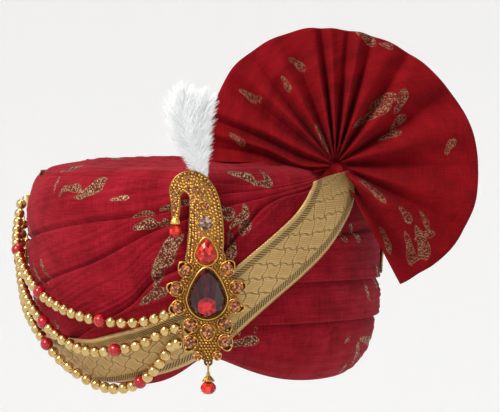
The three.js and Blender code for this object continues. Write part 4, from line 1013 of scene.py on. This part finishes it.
def rounded_path(points, count, closed=False):
    """A centripetal Catmull-Rom curve: between two points it is a cubic whose slopes come from the chords on
    each side, each chord divided by the square root of its length. The curve is then read at even steps."""
    p = np.array(points, float)
    ends = (p[-1:], p[:2]) if closed else (2 * p[:1] - p[1:2], 2 * p[-1:] - p[-2:-1])
    p = np.concatenate([ends[0], p, ends[1]])
    d = np.sqrt(np.linalg.norm(np.diff(p, axis=0), axis=1))[:, None]
    chord = np.diff(p, axis=0)
    before, middle, after = d[:-2], d[1:-1], d[2:]
    first = chord[:-2] / before - (p[2:-1] - p[:-3]) / (before + middle) + chord[1:-1] / middle
    second = chord[1:-1] / middle - (p[3:] - p[1:-2]) / (middle + after) + chord[2:] / after
    first, second = first * middle, second * middle
    s = np.linspace(0, 1, 60, endpoint=False)[None, :, None]
    a, b = p[1:-2, None], p[2:-1, None]
    h = a * (1 - s) ** 2 * (1 + 2 * s) + b * s * s * (3 - 2 * s)
    h = h + first[:, None] * s * (1 - s) ** 2 - second[:, None] * s * s * (1 - s)
    fine = np.concatenate([h.reshape(-1, p.shape[1]), p[-2:-1]])
    run = np.concatenate([[0], np.cumsum(np.linalg.norm(np.diff(fine, axis=0), axis=1))])
    at = np.linspace(0, run[-1], count, endpoint=not closed)
    return np.stack([np.interp(at, run, fine[:, k]) for k in range(p.shape[1])], axis=-1), run[-1]


def tube(path, radius, sides=8, closed=False, up=(0.0, 0.0, 1.0)):
    """A round wire along a path: a circle in the plane across the path at each point."""
    step = np.gradient(path, axis=0)
    if closed:
        step = np.roll(path, -1, axis=0) - np.roll(path, 1, axis=0)
    step = step / np.linalg.norm(step, axis=1, keepdims=True)
    a = np.cross(step, np.array(up))
    a = a / np.linalg.norm(a, axis=1, keepdims=True)
    b = np.cross(a, step)
    turn = circle(sides)[None, :, None]
    r = np.broadcast_to(radius, len(path))[:, None, None]
    points = path[:, None] + r * (a[:, None] * np.cos(turn) + b[:, None] * np.sin(turn))
    return grid_part(points, close_u=closed, close_v=True, caps=not closed)


def turned(centre, rows, sides, flutes=0, depth=0.0):
    """A shape turned about the vertical through a centre, from rows of radius and height. Flutes are a cosine
    round it that deepens and lifts the radius."""
    a = circle(sides)[None, :]
    r, z = (np.array(column)[:, None] for column in zip(*rows))
    r = r * (1 + depth * np.cos(a * flutes))
    points = np.stack([r * np.cos(a), r * np.sin(a), z + 0 * a], axis=-1) + np.array(centre)
    return grid_part(points, close_v=True, caps=True)


def balls(centres, radii, around=8, rings=5):
    """Many small balls as one part: rings of latitude on each, with a flat face over both poles."""
    centres, radii = np.array(centres, float), np.broadcast_to(radii, len(centres))
    lat = np.linspace(-0.47 * math.pi, 0.47 * math.pi, rings)[:, None]
    lon = circle(around)[None, :]
    unit = np.stack([np.cos(lat) * np.cos(lon), np.cos(lat) * np.sin(lon), np.sin(lat) + 0 * lon], axis=-1)
    return repeated(centres[:, None, None] + radii[:, None, None, None] * unit[None])


def repeated(points):
    """One part from many equal grids: the faces of the first, counted on for each of the others."""
    count, nu, nv = points.shape[:3]
    first = outward(points[0].reshape(-1, 3), grid_faces(nu, nv, close_v=True, caps=True))
    offsets = np.arange(count)[:, None, None] * nu * nv
    return points.reshape(-1, 3), [(group[None] + offsets).reshape(-1, group.shape[1]) for group in first]


def pear(pear_at, share=1.0, grow=0.0, count=36):
    """Outline of a pear-cut stone: a cosine across, narrowed above its middle, and a sine up or down."""
    (x, y), half, up, down = pear_at
    a = circle(count)
    sine = np.sin(a)
    narrowed = 1 - PEAR_NECK * np.maximum(sine, 0)
    tall = np.where(sine > 0, up + grow * 1.3, down + grow)
    out = np.stack([(half + grow) * np.cos(a) * narrowed, tall * sine], axis=-1)
    return out * share + np.array([x, y])


def at_height(outline, z):
    """An outline with a height added to each of its points."""
    return np.concatenate([outline, np.full((len(outline), 1), z)], axis=1)


def bezel(outlines, heights):
    """A setting's wall: a closed ring through outlines at heights, up the outside and down the inside."""
    points = np.stack([at_height(outline, z) for outline, z in zip(outlines, heights)])
    return grid_part(points, close_u=True, close_v=True)


def petal(x, y, r, grow, point):
    """A ring round a stone that comes to a soft point away from the brooch's middle."""
    a = circle(28)
    toward = math.atan2(y - MAIN_PEAR[0][1], x)
    out = r + grow + point * np.maximum(np.cos(a - toward), 0) ** 7
    return np.stack([x + out * np.cos(a), y + out * np.sin(a)], axis=-1)


STEM_EDGES = [rounded_path(line, 90)[0] for line in (STEM_OUTER, STEM_INNER)]


def stem_parts():
    """The stem: a band between its two edges, domed by a sine across, with a wire along each edge."""
    outer, inner = STEM_EDGES
    t = np.linspace(0, 1, 11)[None, :, None]
    flat = outer[:, None] * (1 - t) + inner[:, None] * t
    dome = PLATE - 0.4 + 1.1 * np.sin(math.pi * t) ** 0.6 + 0 * flat[..., :1]
    top = np.concatenate([flat, dome], axis=-1)
    under = np.concatenate([flat[:, [-1, 0]], np.zeros((len(flat), 2, 1))], axis=-1)
    band = grid_part(np.concatenate([top, under], axis=1), close_v=True, caps=True)
    return [band, *(tube(at_height(line, PLATE), 0.62, 8) for line in STEM_EDGES)]


def grain_places():
    """Rows of grains across the stem about 2 mm apart, left out where a stone's setting stands."""
    random = np.random.default_rng(31)
    places = []
    for a, b in zip(*(edge[::2] for edge in STEM_EDGES)):
        across = max(2, round(np.linalg.norm(a - b) / 2.1))
        for k in range(across):
            share = (k + 0.5) / across
            x, y = a * (1 - share) + b * share + random.uniform(-0.25, 0.25, 2)
            places.append((x, y, PLATE + 0.5 + 0.9 * math.sin(math.pi * share)))
    places = np.array(places)
    keep = np.ones(len(places), bool)
    for x, y, r in (*AMBER_STONES, ROSE_STONE, *RED_PEAR_ROOM):
        keep &= np.hypot(places[:, 0] - x, places[:, 1] - y) > r + 1.1
    return places[keep], random


def plate_grains():
    """Grains over the backing plate: a staggered grid, kept inside the plate and clear of the settings."""
    x, y = np.meshgrid(np.arange(-21, 22, 2.05), np.arange(-43, 20, 1.8))
    x = x + np.where(np.arange(len(x)) % 2, 1.0, 0.0)[:, None]
    x, y = x.ravel(), y.ravel()
    edge = np.array(BACKING) * 0.93
    inside = np.zeros(len(x), bool)
    for (x1, y1), (x2, y2) in zip(edge, np.roll(edge, -1, axis=0)):
        crosses = (y1 > y) != (y2 > y)
        inside ^= crosses & (x < (x2 - x1) * (y - y1) / (y2 - y1 + 1e-12) + x1)
    for stone_x, stone_y, r in AMBER_STONES:
        inside &= np.hypot(x - stone_x, y - stone_y) > r + 1.6
    (_, pear_y), half, up, down = MAIN_PEAR
    tall = np.where(y > pear_y, up, down)
    a = np.arctan2((y - pear_y) * half / tall, x)
    narrowed = half * (1 - PEAR_NECK * np.maximum(np.sin(a), 0))
    inside &= np.hypot(x, (y - pear_y) * narrowed / tall) > narrowed + 2.6
    return np.stack([x, y, np.full(len(x), PLATE + 0.3)], axis=-1)[inside]


def claws_round(x, y, r, z, count, lie=0.0):
    """Places of a setting's claws: even steps round a circle, at one height."""
    steps = [lie + k * 2 * math.pi / count for k in range(count)]
    return [(x + r * math.cos(a), y + r * math.sin(a), z) for a in steps]


def plate_part():
    """The backing plate: its outline drawn in a little at the back and front edges."""
    plate, _ = rounded_path(BACKING, 120, closed=True)
    middle = plate.mean(axis=0)
    rows = [(0.96, 0.0), (1.0, 0.5), (1.0, PLATE - 0.5), (0.96, PLATE)]
    points = np.stack([at_height((plate - middle) * share + middle, z) for share, z in rows])
    return grid_part(points, close_v=True, caps=True)


def amber_settings():
    """A wire petal round each amber stone, the last four nearly round, and the places of their claws."""
    walls, claws = [], []
    for number, (x, y, r) in enumerate(AMBER_STONES):
        point = 1.7 if number < 11 else 0.5
        steps = ((0.9, 0.9), (1.0, 1.0), (0.8, 1.0), (0.35, 0.9), (0.1, 0.7), (0.1, 0.0))
        walls.append(bezel([petal(x, y, r, grow, point * share) for grow, share in steps], LOW_WALL))
        claws += claws_round(x, y, r + 0.1, 4.3, 4, 0.6 * number)
    return walls, claws


def pear_settings():
    """A wall round each pear stone, and the bead row outside it."""
    walls, beads = [], []
    for pear_at, wall, count in ((RED_PEAR, 1.2, 34), (MAIN_PEAR, 1.3, 52)):
        rings = [pear(pear_at, grow=grow * wall, count=56) for grow in (1.0, 1.0, 0.7, 0.25, 0.0, 0.0)]
        walls.append(bezel(rings, PEAR_WALL))
        beads.append(at_height(pear(pear_at, grow=wall * 1.9, count=count), 2.8))
    return walls, np.concatenate(beads)


def scroll(side):
    """A wire curl on the plate, left or right: a spiral that tightens as it turns."""
    s = np.linspace(0, 1, 40)
    swirl, r = 5.2 * s * math.pi / 2, 3.4 * (1 - 0.75 * s)
    curl = np.stack([side * (15.5 + r * np.cos(swirl)), -26.5 + r * np.sin(swirl), PLATE + 0 * s], axis=-1)
    return tube(curl, 0.6, 7)


def tip_cap():
    """The ribbed cap at the hooked tip: a bell turned about the tip's wire and laid along the brooch."""
    bell = [
        (0.9, 49.2), (1.5, 48.6), (1.5, 47.9), (2.1, 47.4), (2.9, 46.0), (3.3, 44.2), (3.5, 43.4),
        (2.6, 43.3),
    ]
    points, faces = turned((0, 0, 0), bell, 48, flutes=12, depth=0.05)
    lying = np.stack([points[:, 0] + TIP_SIDE, points[:, 2], points[:, 1] + TIP_FORWARD], axis=-1)
    return lying, outward(lying, faces)


def brooch_frame_mesh(grains):
    """The whole casting as one mesh: plate, stem, settings, claws, grains, lug and the cap at the tip."""
    petals, claws = amber_settings()
    x, y, r = ROSE_STONE
    rings = [petal(x, y, r, grow, 0.3) for grow in (1.0, 1.1, 0.8, 0.3, 0.0, 0.0)]
    claws += claws_round(x, y, r, 4.4, 6)
    pear_walls, beads = pear_settings()
    x, y = RED_PEAR[0]
    horns = [(x - 5.6, y + 7.2), (x + 5.6, y + 7.2)]
    claws += [(*spot, 4.6) for spot in (*horns, (x - 5.8, y - 3.8), (x + 5.8, y - 3.8))]
    edge, _ = rounded_path([(x * 0.96, y * 0.96 - 0.2) for x, y in BACKING], 110, closed=True)
    ring = circle(28)
    lug = [LUG[0] + LUG_RADIUS * np.cos(ring), LUG[1] + LUG_RADIUS * np.sin(ring), 0.85 + 0 * ring]
    parts = [
        *stem_parts(), plate_part(), *petals, bezel(rings, ROSE_WALL), *pear_walls,
        *(turned((*horn, 0.0), ((1.5, 1.5), (1.3, 3.0), (0.9, 5.0), (0.15, 6.6)), 10) for horn in horns),
        balls(claws, 0.85), balls(beads, 0.62), balls(grains, 0.98), balls(plate_grains(), 0.95),
        balls(at_height(edge, PLATE + 0.2), 0.7), scroll(-1), scroll(1),
        tube(np.stack(lug, axis=-1), 0.78, 9, closed=True), tip_cap(),
        tube(np.array([(TIP_SIDE, z, TIP_FORWARD) for z in (51.0, 48.0)]), 1.3, 10),
    ]
    return mesh_of("brooch_cast", from_brooch(parts))


def gilding_painted_shade(name, deep, bright, rough, back, front):
    """Gold wash over a casting: bright on what stands proud and darkened as painted shade in the hollows, by
    depth between two distances in front of the turban's middle, with a slight waviness from casting."""
    material, tree, shader = bare_material(name)
    here = node(tree, "ShaderNodeTexCoord").outputs["Object"]
    depth = node(tree, "ShaderNodeSeparateXYZ", {0: here}).outputs[1]
    noise = object_noise(tree, 900.0, 3.0)
    uneven = maths(tree, "MULTIPLY_ADD", noise, 0.5, -0.25)
    # Painted shade: the share of bright gold grows with depth from the back distance to the front one, with
    # random unevenness.
    proud = maths(tree, "ADD", ranged(tree, depth, back, front), uneven)
    feed(tree, shader, {
        "Base Color": mixed(tree, ranged(tree, proud, 0.1, 0.9), deep, bright),
        "Roughness": maths(tree, "MULTIPLY_ADD", noise, 0.25, rough),
        "Metallic": 1.0, "Normal": bumped(tree, noise, 0.25, 0.0003),
    })
    return material


grain_spots, grain_random = grain_places()
is_paste = grain_random.random(len(grain_spots)) < 0.3
PLATE_Y = BROOCH_AT[1] * 0.001
# The brooch's gilt: painted shade in its hollows, dark at the plate and bright on what stands a few
# millimetres in front of it.
GILT = gilding_painted_shade(
    "gilt_painted_shade", (0.20, 0.075, 0.012), (0.86, 0.50, 0.13), 0.16, PLATE_Y - 0.0018, PLATE_Y - 0.0042
)
# The same gilding in milder tones for the drop's fitting, the pin and the bar; here it runs darker towards
# the front of the turban.
BARE_GILT = gilding_painted_shade("plain_gilt", (0.55, 0.33, 0.09), (0.80, 0.52, 0.17), 0.22, -0.15, 0.05)
place("brooch_cast", brooch_frame_mesh(grain_spots[~is_paste]), GILT, "gilt", "brooch_frame")

# The stones.
# Machine-cut glass on a foil back: flat facets, each painted its own colour from near black to bright as a
# painted reflection. Each stone sits in its setting on the brooch.


FIT = 0.97


def cut_glass(name, dark, middle, bright):
    """Foil-backed glass: each facet's share picks its colour from dark to bright, a painted reflection, under
    a hard clear coat.
    """
    material, tree, shader = bare_material(name)
    facet = node(tree, "ShaderNodeAttribute", attribute_name="facet").outputs["Fac"]
    cloud = object_noise(tree, 420.0, 2.0)
    share = maths(tree, "ADD", facet, maths(tree, "MULTIPLY_ADD", cloud, 0.3, -0.15))
    colour = three_tones(tree, share, (0.0, 0.5, 1.0), (dark, middle, bright))
    feed(tree, shader, {
        "Base Color": colour, "Roughness": 0.06, "Specular IOR Level": 0.45, "Coat Weight": 0.25,
        "Coat Roughness": 0.03,
    })
    return material


def round_outline(stone, turn, count=12):
    """Outlines of a round stone, just inside its setting: even steps round a circle, by share of radius."""
    x, y, r = stone

    def at(share):
        a = circle(count) + turn
        return np.stack([x + r * FIT * share * np.cos(a), y + r * FIT * share * np.sin(a)], axis=-1)

    return at


def cut_stone(outline_at, height, seed, shares=(0.55, 1.0, 1.0, 0.82, 0.52, 0.22), glow=False):
    """A faceted stone as one part with a share for each facet. Rings step in from the girdle to the table.
    The shares pick each facet's painted reflection: random with a dark table, or dark all over but for the
    innermost ring and the table, which carry a painted glow."""
    random = np.random.default_rng(seed)
    levels = (-1.4, 0.0, 0.2, 0.55 * height, height, height)
    rings = [at_height(outline_at(share), 2.15 + 1.6 * (z >= 0) + z) for share, z in zip(shares, levels)]
    points = np.stack(rings)
    flat, faces = grid_part(points, close_v=True, caps=True)
    facet = random.random(sum(len(group) for group in faces))
    if glow:
        ring = rings[0].shape[0]
        inmost = (len(rings) - 2) * ring
        facet[:inmost] *= 0.5
        facet[inmost : inmost + ring] = 0.55 + 0.3 * facet[inmost : inmost + ring]
        facet[-1] = 0.85
    else:
        facet[-1] = 0.1
    return (flat, faces), facet


AMBER = cut_glass("amber_paste", (0.03, 0.008, 0.003), (0.26, 0.075, 0.022), (0.80, 0.30, 0.09))
ROSE = cut_glass("rose_paste", (0.07, 0.03, 0.025), (0.26, 0.14, 0.10), (0.62, 0.42, 0.33))
RED = cut_glass("red_paste", (0.18, 0.0, 0.002), (0.55, 0.006, 0.005), (1.0, 0.06, 0.02))
GARNET = cut_glass("garnet_paste", (0.010, 0.001, 0.002), (0.055, 0.001, 0.005), (0.90, 0.010, 0.012))


def place_cut(name, part, facet, material, slot, *nodes, body="turban"):
    """Place a faceted part as a flat-shaded piece with its facets' shares of painted reflection."""
    mesh = mesh_of(name, [part], smooth=False, face_marks={"facet": facet})
    place(name, mesh, material, slot, *nodes, body=body)


def set_stone(name, stone_node, slot, material, outline_at, height, seed, **cut):
    """Cut a stone from its outlines and place it in its setting."""
    part, facet = cut_stone(outline_at, height, seed, **cut)
    place_cut(name, *from_brooch([part]), facet, material, slot, stone_node)


for number, stone in enumerate(AMBER_STONES, start=1):
    name = f"amber_{number:02d}"
    height = 2.6 if stone[2] > 3 else 1.82
    outline_at = round_outline(stone, 0.3 * stone[0])
    set_stone(name, f"stone_{name}", "amber_glass", AMBER, outline_at, height, 60 + number)
set_stone("rose_stone", "stone_rose", "rose_glass", ROSE, round_outline(ROSE_STONE, 0.2, 14), 2.86, 81)
set_stone(
    "red_pear", "stone_red_pear", "red_glass", RED, lambda share: pear(RED_PEAR, share * FIT, count=14), 3.38,
    82,
)


def main_pear_outline(share):
    """The large pear's rings: a pear at the girdle that turns into a hexagon low on the table. The hexagon's
    reach is its half width over the cosine of the angle from the middle of each side."""
    sides = 18
    full = pear(MAIN_PEAR, share * 0.98, count=sides)
    a = circle(sides)
    hexagon = 5.6 / np.cos((a + math.pi / 6) % (math.pi / 3) - math.pi / 6)
    table = np.stack([hexagon * np.cos(a), hexagon * np.sin(a)], axis=-1) * min(1.0, share / 0.45)
    step_in = ease((0.85 - share) / 0.4)
    return full * (1 - step_in) + (table + [0, -8.4]) * step_in


# The large pear is dark but for a painted glow in its innermost ring and table.
set_stone(
    "main_pear", "stone_main_pear", "garnet_glass", GARNET, main_pear_outline, 5.0, 83,
    shares=(0.9, 1.0, 1.0, 0.86, 0.45, 0.22), glow=True,
)

# Pavé on the stem.
# Tiny paste stones share the stem with the grains, each a few facets in the same amber glass.
paste = balls(grain_spots[is_paste] + np.array([0, 0, 0.1]), 1.05, around=6, rings=4)
# Each facet of the paste takes a random share of painted reflection.
paste_facet = np.random.default_rng(90).random(sum(len(group) for group in paste[1]))
place_cut("stem_paste", *from_brooch([paste]), paste_facet, AMBER, "amber_glass")

# The bead at the tip.
# A faceted red glass bead on a wire, hung under the ribbed cap.


def faceted_bead(centre, rows, sides, seed):
    """A cut bead turned about the vertical from rows of radius and height, with a random share a facet that
    picks its painted reflection.
    """
    points, faces = turned(centre, rows, sides)
    facet = np.random.default_rng(seed).random(sum(len(group) for group in faces))
    return (points, faces), facet


tip_at = BROOCH_AT + np.array([TIP_SIDE, -TIP_FORWARD, 38.75])
BEAD_ROWS = ((0.3, -1.0), (0.62, -0.86), (0.93, -0.42), (1.0, 0.0), (0.93, 0.42), (0.62, 0.86), (0.3, 1.0))
tip_bead = faceted_bead(tip_at, [(4.2 * r, 4.1 * z) for r, z in BEAD_ROWS], 12, 71)
place_cut("tip_bead_cut", *tip_bead, RED, "red_glass", "tip_bead")

# The drop.
# A red glass pear hung in the brooch's lug by a wire eye, with a pierced cap. It swings with its own body.
eye_low, eye_high = (np.array(corner) * 1000.0 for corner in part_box("drop_cap"))
DROP_AT = np.array([(eye_low[0] + eye_high[0]) / 2, (eye_low[1] + eye_high[1]) / 2, eye_high[2] - 0.7])
ring = circle(36)
eye = np.stack([0 * ring, 3.3 * np.cos(ring), -3.3 + 3.3 * np.sin(ring)], axis=-1) + DROP_AT
stem_line = DROP_AT + np.array([(0, 0, -6.6), (0, 0, -12.0)])
cap_rows = [
    (0.9, -7.6), (1.35, -7.9), (1.0, -8.5), (1.6, -9.0), (2.4, -10.0), (3.2, -11.1), (3.7, -12.0),
    (3.3, -12.2),
]
lace = circle(14)
lace_spots = np.stack([3.55 * np.cos(lace), 3.55 * np.sin(lace), -12.1 + 0 * lace], axis=-1) + DROP_AT
drop_parts = [
    tube(eye, 0.62, 9, closed=True, up=(1.0, 0.0, 0.0)),
    tube(stem_line, 0.6, 9, up=(0.0, 1.0, 0.0)),
    turned(DROP_AT, cap_rows, 42, flutes=7, depth=0.07),
    balls(lace_spots, 0.55),
    balls([DROP_AT - np.array([0, 0, 7.2])], 1.05, 12, 7),
]
place("drop_fitting", mesh_of("drop_fitting", drop_parts), BARE_GILT, "gilt", "drop_cap", body="drop")
PEAR_ROWS = ((1.4, -12.4), (3.4, -13.5), (4.7, -15.3), (5.0, -17.0), (4.4, -18.9), (2.9, -20.2), (1.0, -20.7))
place_cut("drop_pear", *faceted_bead(DROP_AT, PEAR_ROWS, 10, 72), RED, "red_glass", "drop_bead", body="drop")

# The plume.
# Three white down feathers tied behind the brooch's curl: a thin quill each, with soft barbs that part and
# curve upward.
# Rows are the quill's line right and up from the brooch's middle, the barbs' length left and right, and
# their number.
DOWN = [
    ([(-2, 64), (-8, 82), (-13, 97), (-15.5, 111), (-14, 124)], 13.5, 13.0, 1700),
    ([(-2, 64), (-5, 84), (-8, 98), (-9, 108), (-9, 116)], 13.0, 12.0, 1000),
    ([(-2, 64), (-3, 84), (-4, 97), (-3, 110), (0.5, 121)], 13.0, 10.0, 1600),
]
DOWN_BACK = 2.9
fullness = smooth_line((0.0, 0.25), (0.25, 0.45), (0.5, 0.95), (0.8, 1.0), (1.0, 0.62))


def barbs(line, left, right, count, seed):
    """Soft barbs as tapering three-sided threads. Each leaves the quill at a share of its length, some 56
    degrees off it, and bends up and forward along a parabola. The barbs are longest past the middle."""
    random = np.random.default_rng(seed)
    quill, _ = rounded_path(line, 200)
    s = random.uniform(0.10, 1.0, count)
    root = (s * (len(quill) - 1)).astype(int)
    at = quill[root]
    step = np.gradient(quill, axis=0)[root]
    step = step / np.linalg.norm(step, axis=1, keepdims=True)
    side = np.where(random.random(count) < 0.5, -1.0, 1.0)
    reach = np.where(side < 0, left, right) * fullness(s)
    reach = reach * random.uniform(0.6, 1.08, count)
    lean = np.radians(random.normal(56, 16, count)) * (1 - 0.5 * s**4)
    tilt = random.normal(0, 0.38, count)
    across = np.stack([step[:, 1], -step[:, 0]], axis=-1) * side[:, None]
    way = step * np.cos(lean)[:, None] + across * np.sin(lean)[:, None]
    t = np.linspace(0, 1, 6)
    run = reach[:, None] * t[None]
    bend = reach[:, None] * 0.28 * t[None] ** 2
    flat = at[:, None] + way[:, None] * run[..., None] + step[:, None] * bend[..., None]
    fluff = tilt[:, None] * run + random.normal(0, 1.0, count)[:, None] * t[None]
    centre = np.concatenate([flat, (fluff - DOWN_BACK)[..., None]], axis=-1)
    thick = 0.36 * (1 - 0.85 * t)[None, :, None, None]
    turn = circle(3)
    normal = np.stack([-way[:, 1], way[:, 0], 0 * side], axis=-1)[:, None, None]
    points = centre[:, :, None] + thick * (
        normal * np.cos(turn)[None, None, :, None] + np.array([0, 0, 1.0]) * np.sin(turn)[None, None, :, None]
    )
    return repeated(points)


def plume_mesh():
    """The three feathers' barbs and quills as one mesh."""
    parts = []
    for seed, (line, left, right, count) in enumerate(DOWN, start=41):
        parts.append(barbs(line, left, right, count, seed))
        quill, _ = rounded_path([(x, y, -DOWN_BACK) for x, y in line], 40)
        parts.append(tube(quill, np.linspace(0.9, 0.3, 40), 8))
    return mesh_of("down", from_brooch(parts))


feather, feather_tree, feather_shader = bare_material("white_down")
cloudy = mixed(feather_tree, object_noise(feather_tree, 160.0, 3.0), (0.80, 0.82, 0.84), (0.95, 0.95, 0.95))
# A faint white emission makes the down glow: a painted glow.
white_with_painted_glow = {"Base Color": cloudy, "Roughness": 0.9, "Sheen Weight": 0.2, "Emission Strength": 0.12}
feed(feather_tree, feather_shader, {**white_with_painted_glow, "Emission Color": WHITE})
place("down", plume_mesh(), feather, "feather", "plume")

# The swags.
# Three strings of hollow plated beads with red glass beads between them, threaded on gold cord from the
# brooch's left cups to a bar on the left side. Rows are the stone whose cup a thread leaves, the direction in
# degrees, the red beads' places along it, and its route in turns and heights.
GOLD_BEAD, RED_BEAD, BEAD_GAP = 3.7, 4.4, 0.7
SWAGS = {
    "mala_1": (
        2, 215, (7, 15, 22, 29), (-16.5, 46.5), (-23, 44.6), (-32, 45), (-41, 47.5), (-49.5, 52), (-59, 59),
        (-66, 66.5), (-73, 75), (-80, 84), (-87, 94), (-92, 104), (-95, 113), (-97, 119),
    ),
    "mala_2": (
        3, 190, (7, 16, 26, 35), (-11.8, 39.8), (-15.5, 35), (-21, 29.5), (-26, 27), (-31, 25), (-38.5, 23.5),
        (-46, 26), (-54, 32.5), (-61, 40), (-69, 48.5), (-77, 57), (-85, 67), (-91.5, 79), (-96.5, 92),
        (-100, 105),
    ),
    "mala_3": (
        4, 180, (7, 18, 29, 39), (-10.2, 30), (-12.5, 23.5), (-17.5, 12), (-22, 5.5), (-28, 0), (-35, -2.5),
        (-42, -1.8), (-49, 3.6), (-55, 12), (-62, 22.5), (-69, 33), (-77, 43.5), (-85, 53.5), (-92.5, 64.5),
        (-98.5, 77), (-103, 91),
    ),
}


def swag_path(stone, side, route):
    """The thread's route: from the side of a stone's cup, then along the route's turns and heights."""
    x, y, r = AMBER_STONES[stone]
    away, lie = r + 2.27, math.radians(side)
    start = BROOCH_AT + np.array([x + away * math.cos(lie), -1.8, y + away * math.sin(lie)])
    turn, z = np.array(route, float).T
    level = np.clip(level_of(turn, z), 0, HEIGHT)
    rest = on_oval(turn, level, 8.9 + 1.6 * np.clip(1 - z / 25, 0, 1), z)
    return rounded_path(np.concatenate([start[None], rest]), 1200)


def strung(path, length, reds):
    """Centres of the gold and red beads, laid one after another along the thread until it is full."""
    at, gold, red = 1.0, [], []
    for number in range(1, 80):
        r = RED_BEAD if number in reds else GOLD_BEAD
        if at + 2 * r > length - 2.5:
            break
        centre = path[int((at + r) / length * (len(path) - 1))]
        (red if number in reds else gold).append(centre)
        at += 2 * r + BEAD_GAP
    return gold, red


def plated(name, dark, light, metallic, rough, coat=0.0):
    """A bead's skin: slightly uneven in colour and polish."""
    material, tree, shader = bare_material(name)
    noise = object_noise(tree, 260.0, 3.0)
    feed(tree, shader, {
        "Base Color": mixed(tree, ranged(tree, noise, 0.3, 0.7), dark, light),
        "Roughness": maths(tree, "MULTIPLY_ADD", noise, 0.16, rough),
        "Metallic": metallic, "Coat Weight": coat,
    })
    return material


PLATED = plated("plated_bead", (0.60, 0.40, 0.14), (0.80, 0.58, 0.26), 1.0, 0.14)
RED_GLASS = plated("red_bead", (0.26, 0.001, 0.004), (0.60, 0.006, 0.014), 0.0, 0.06, coat=0.3)
for name, (stone, side, reds, *route) in SWAGS.items():
    path, length = swag_path(stone, side, route)
    gold, red = strung(path, length, reds)
    thread = tube(path[::4], 0.5, 6, up=(0.05, 0.9, 0.4))
    beads = balls(gold, GOLD_BEAD, 18, 11)
    place(f"{name}_gold", mesh_of(f"{name}_gold", [beads, thread]), PLATED, "gilt_beads", name)
    place(f"{name}_red", mesh_of(f"{name}_red", [balls(red, RED_BEAD, 22, 13)]), RED_GLASS, "red_glass")

# The pin and the bar.
# The plain pin behind the brooch and the bar at the swags' far ends are gilded like the casting.
for name in ("brooch_pin", "mala_hook"):
    for material_slot in bpy.data.objects[name].material_slots:
        material_slot.material = BARE_GILT
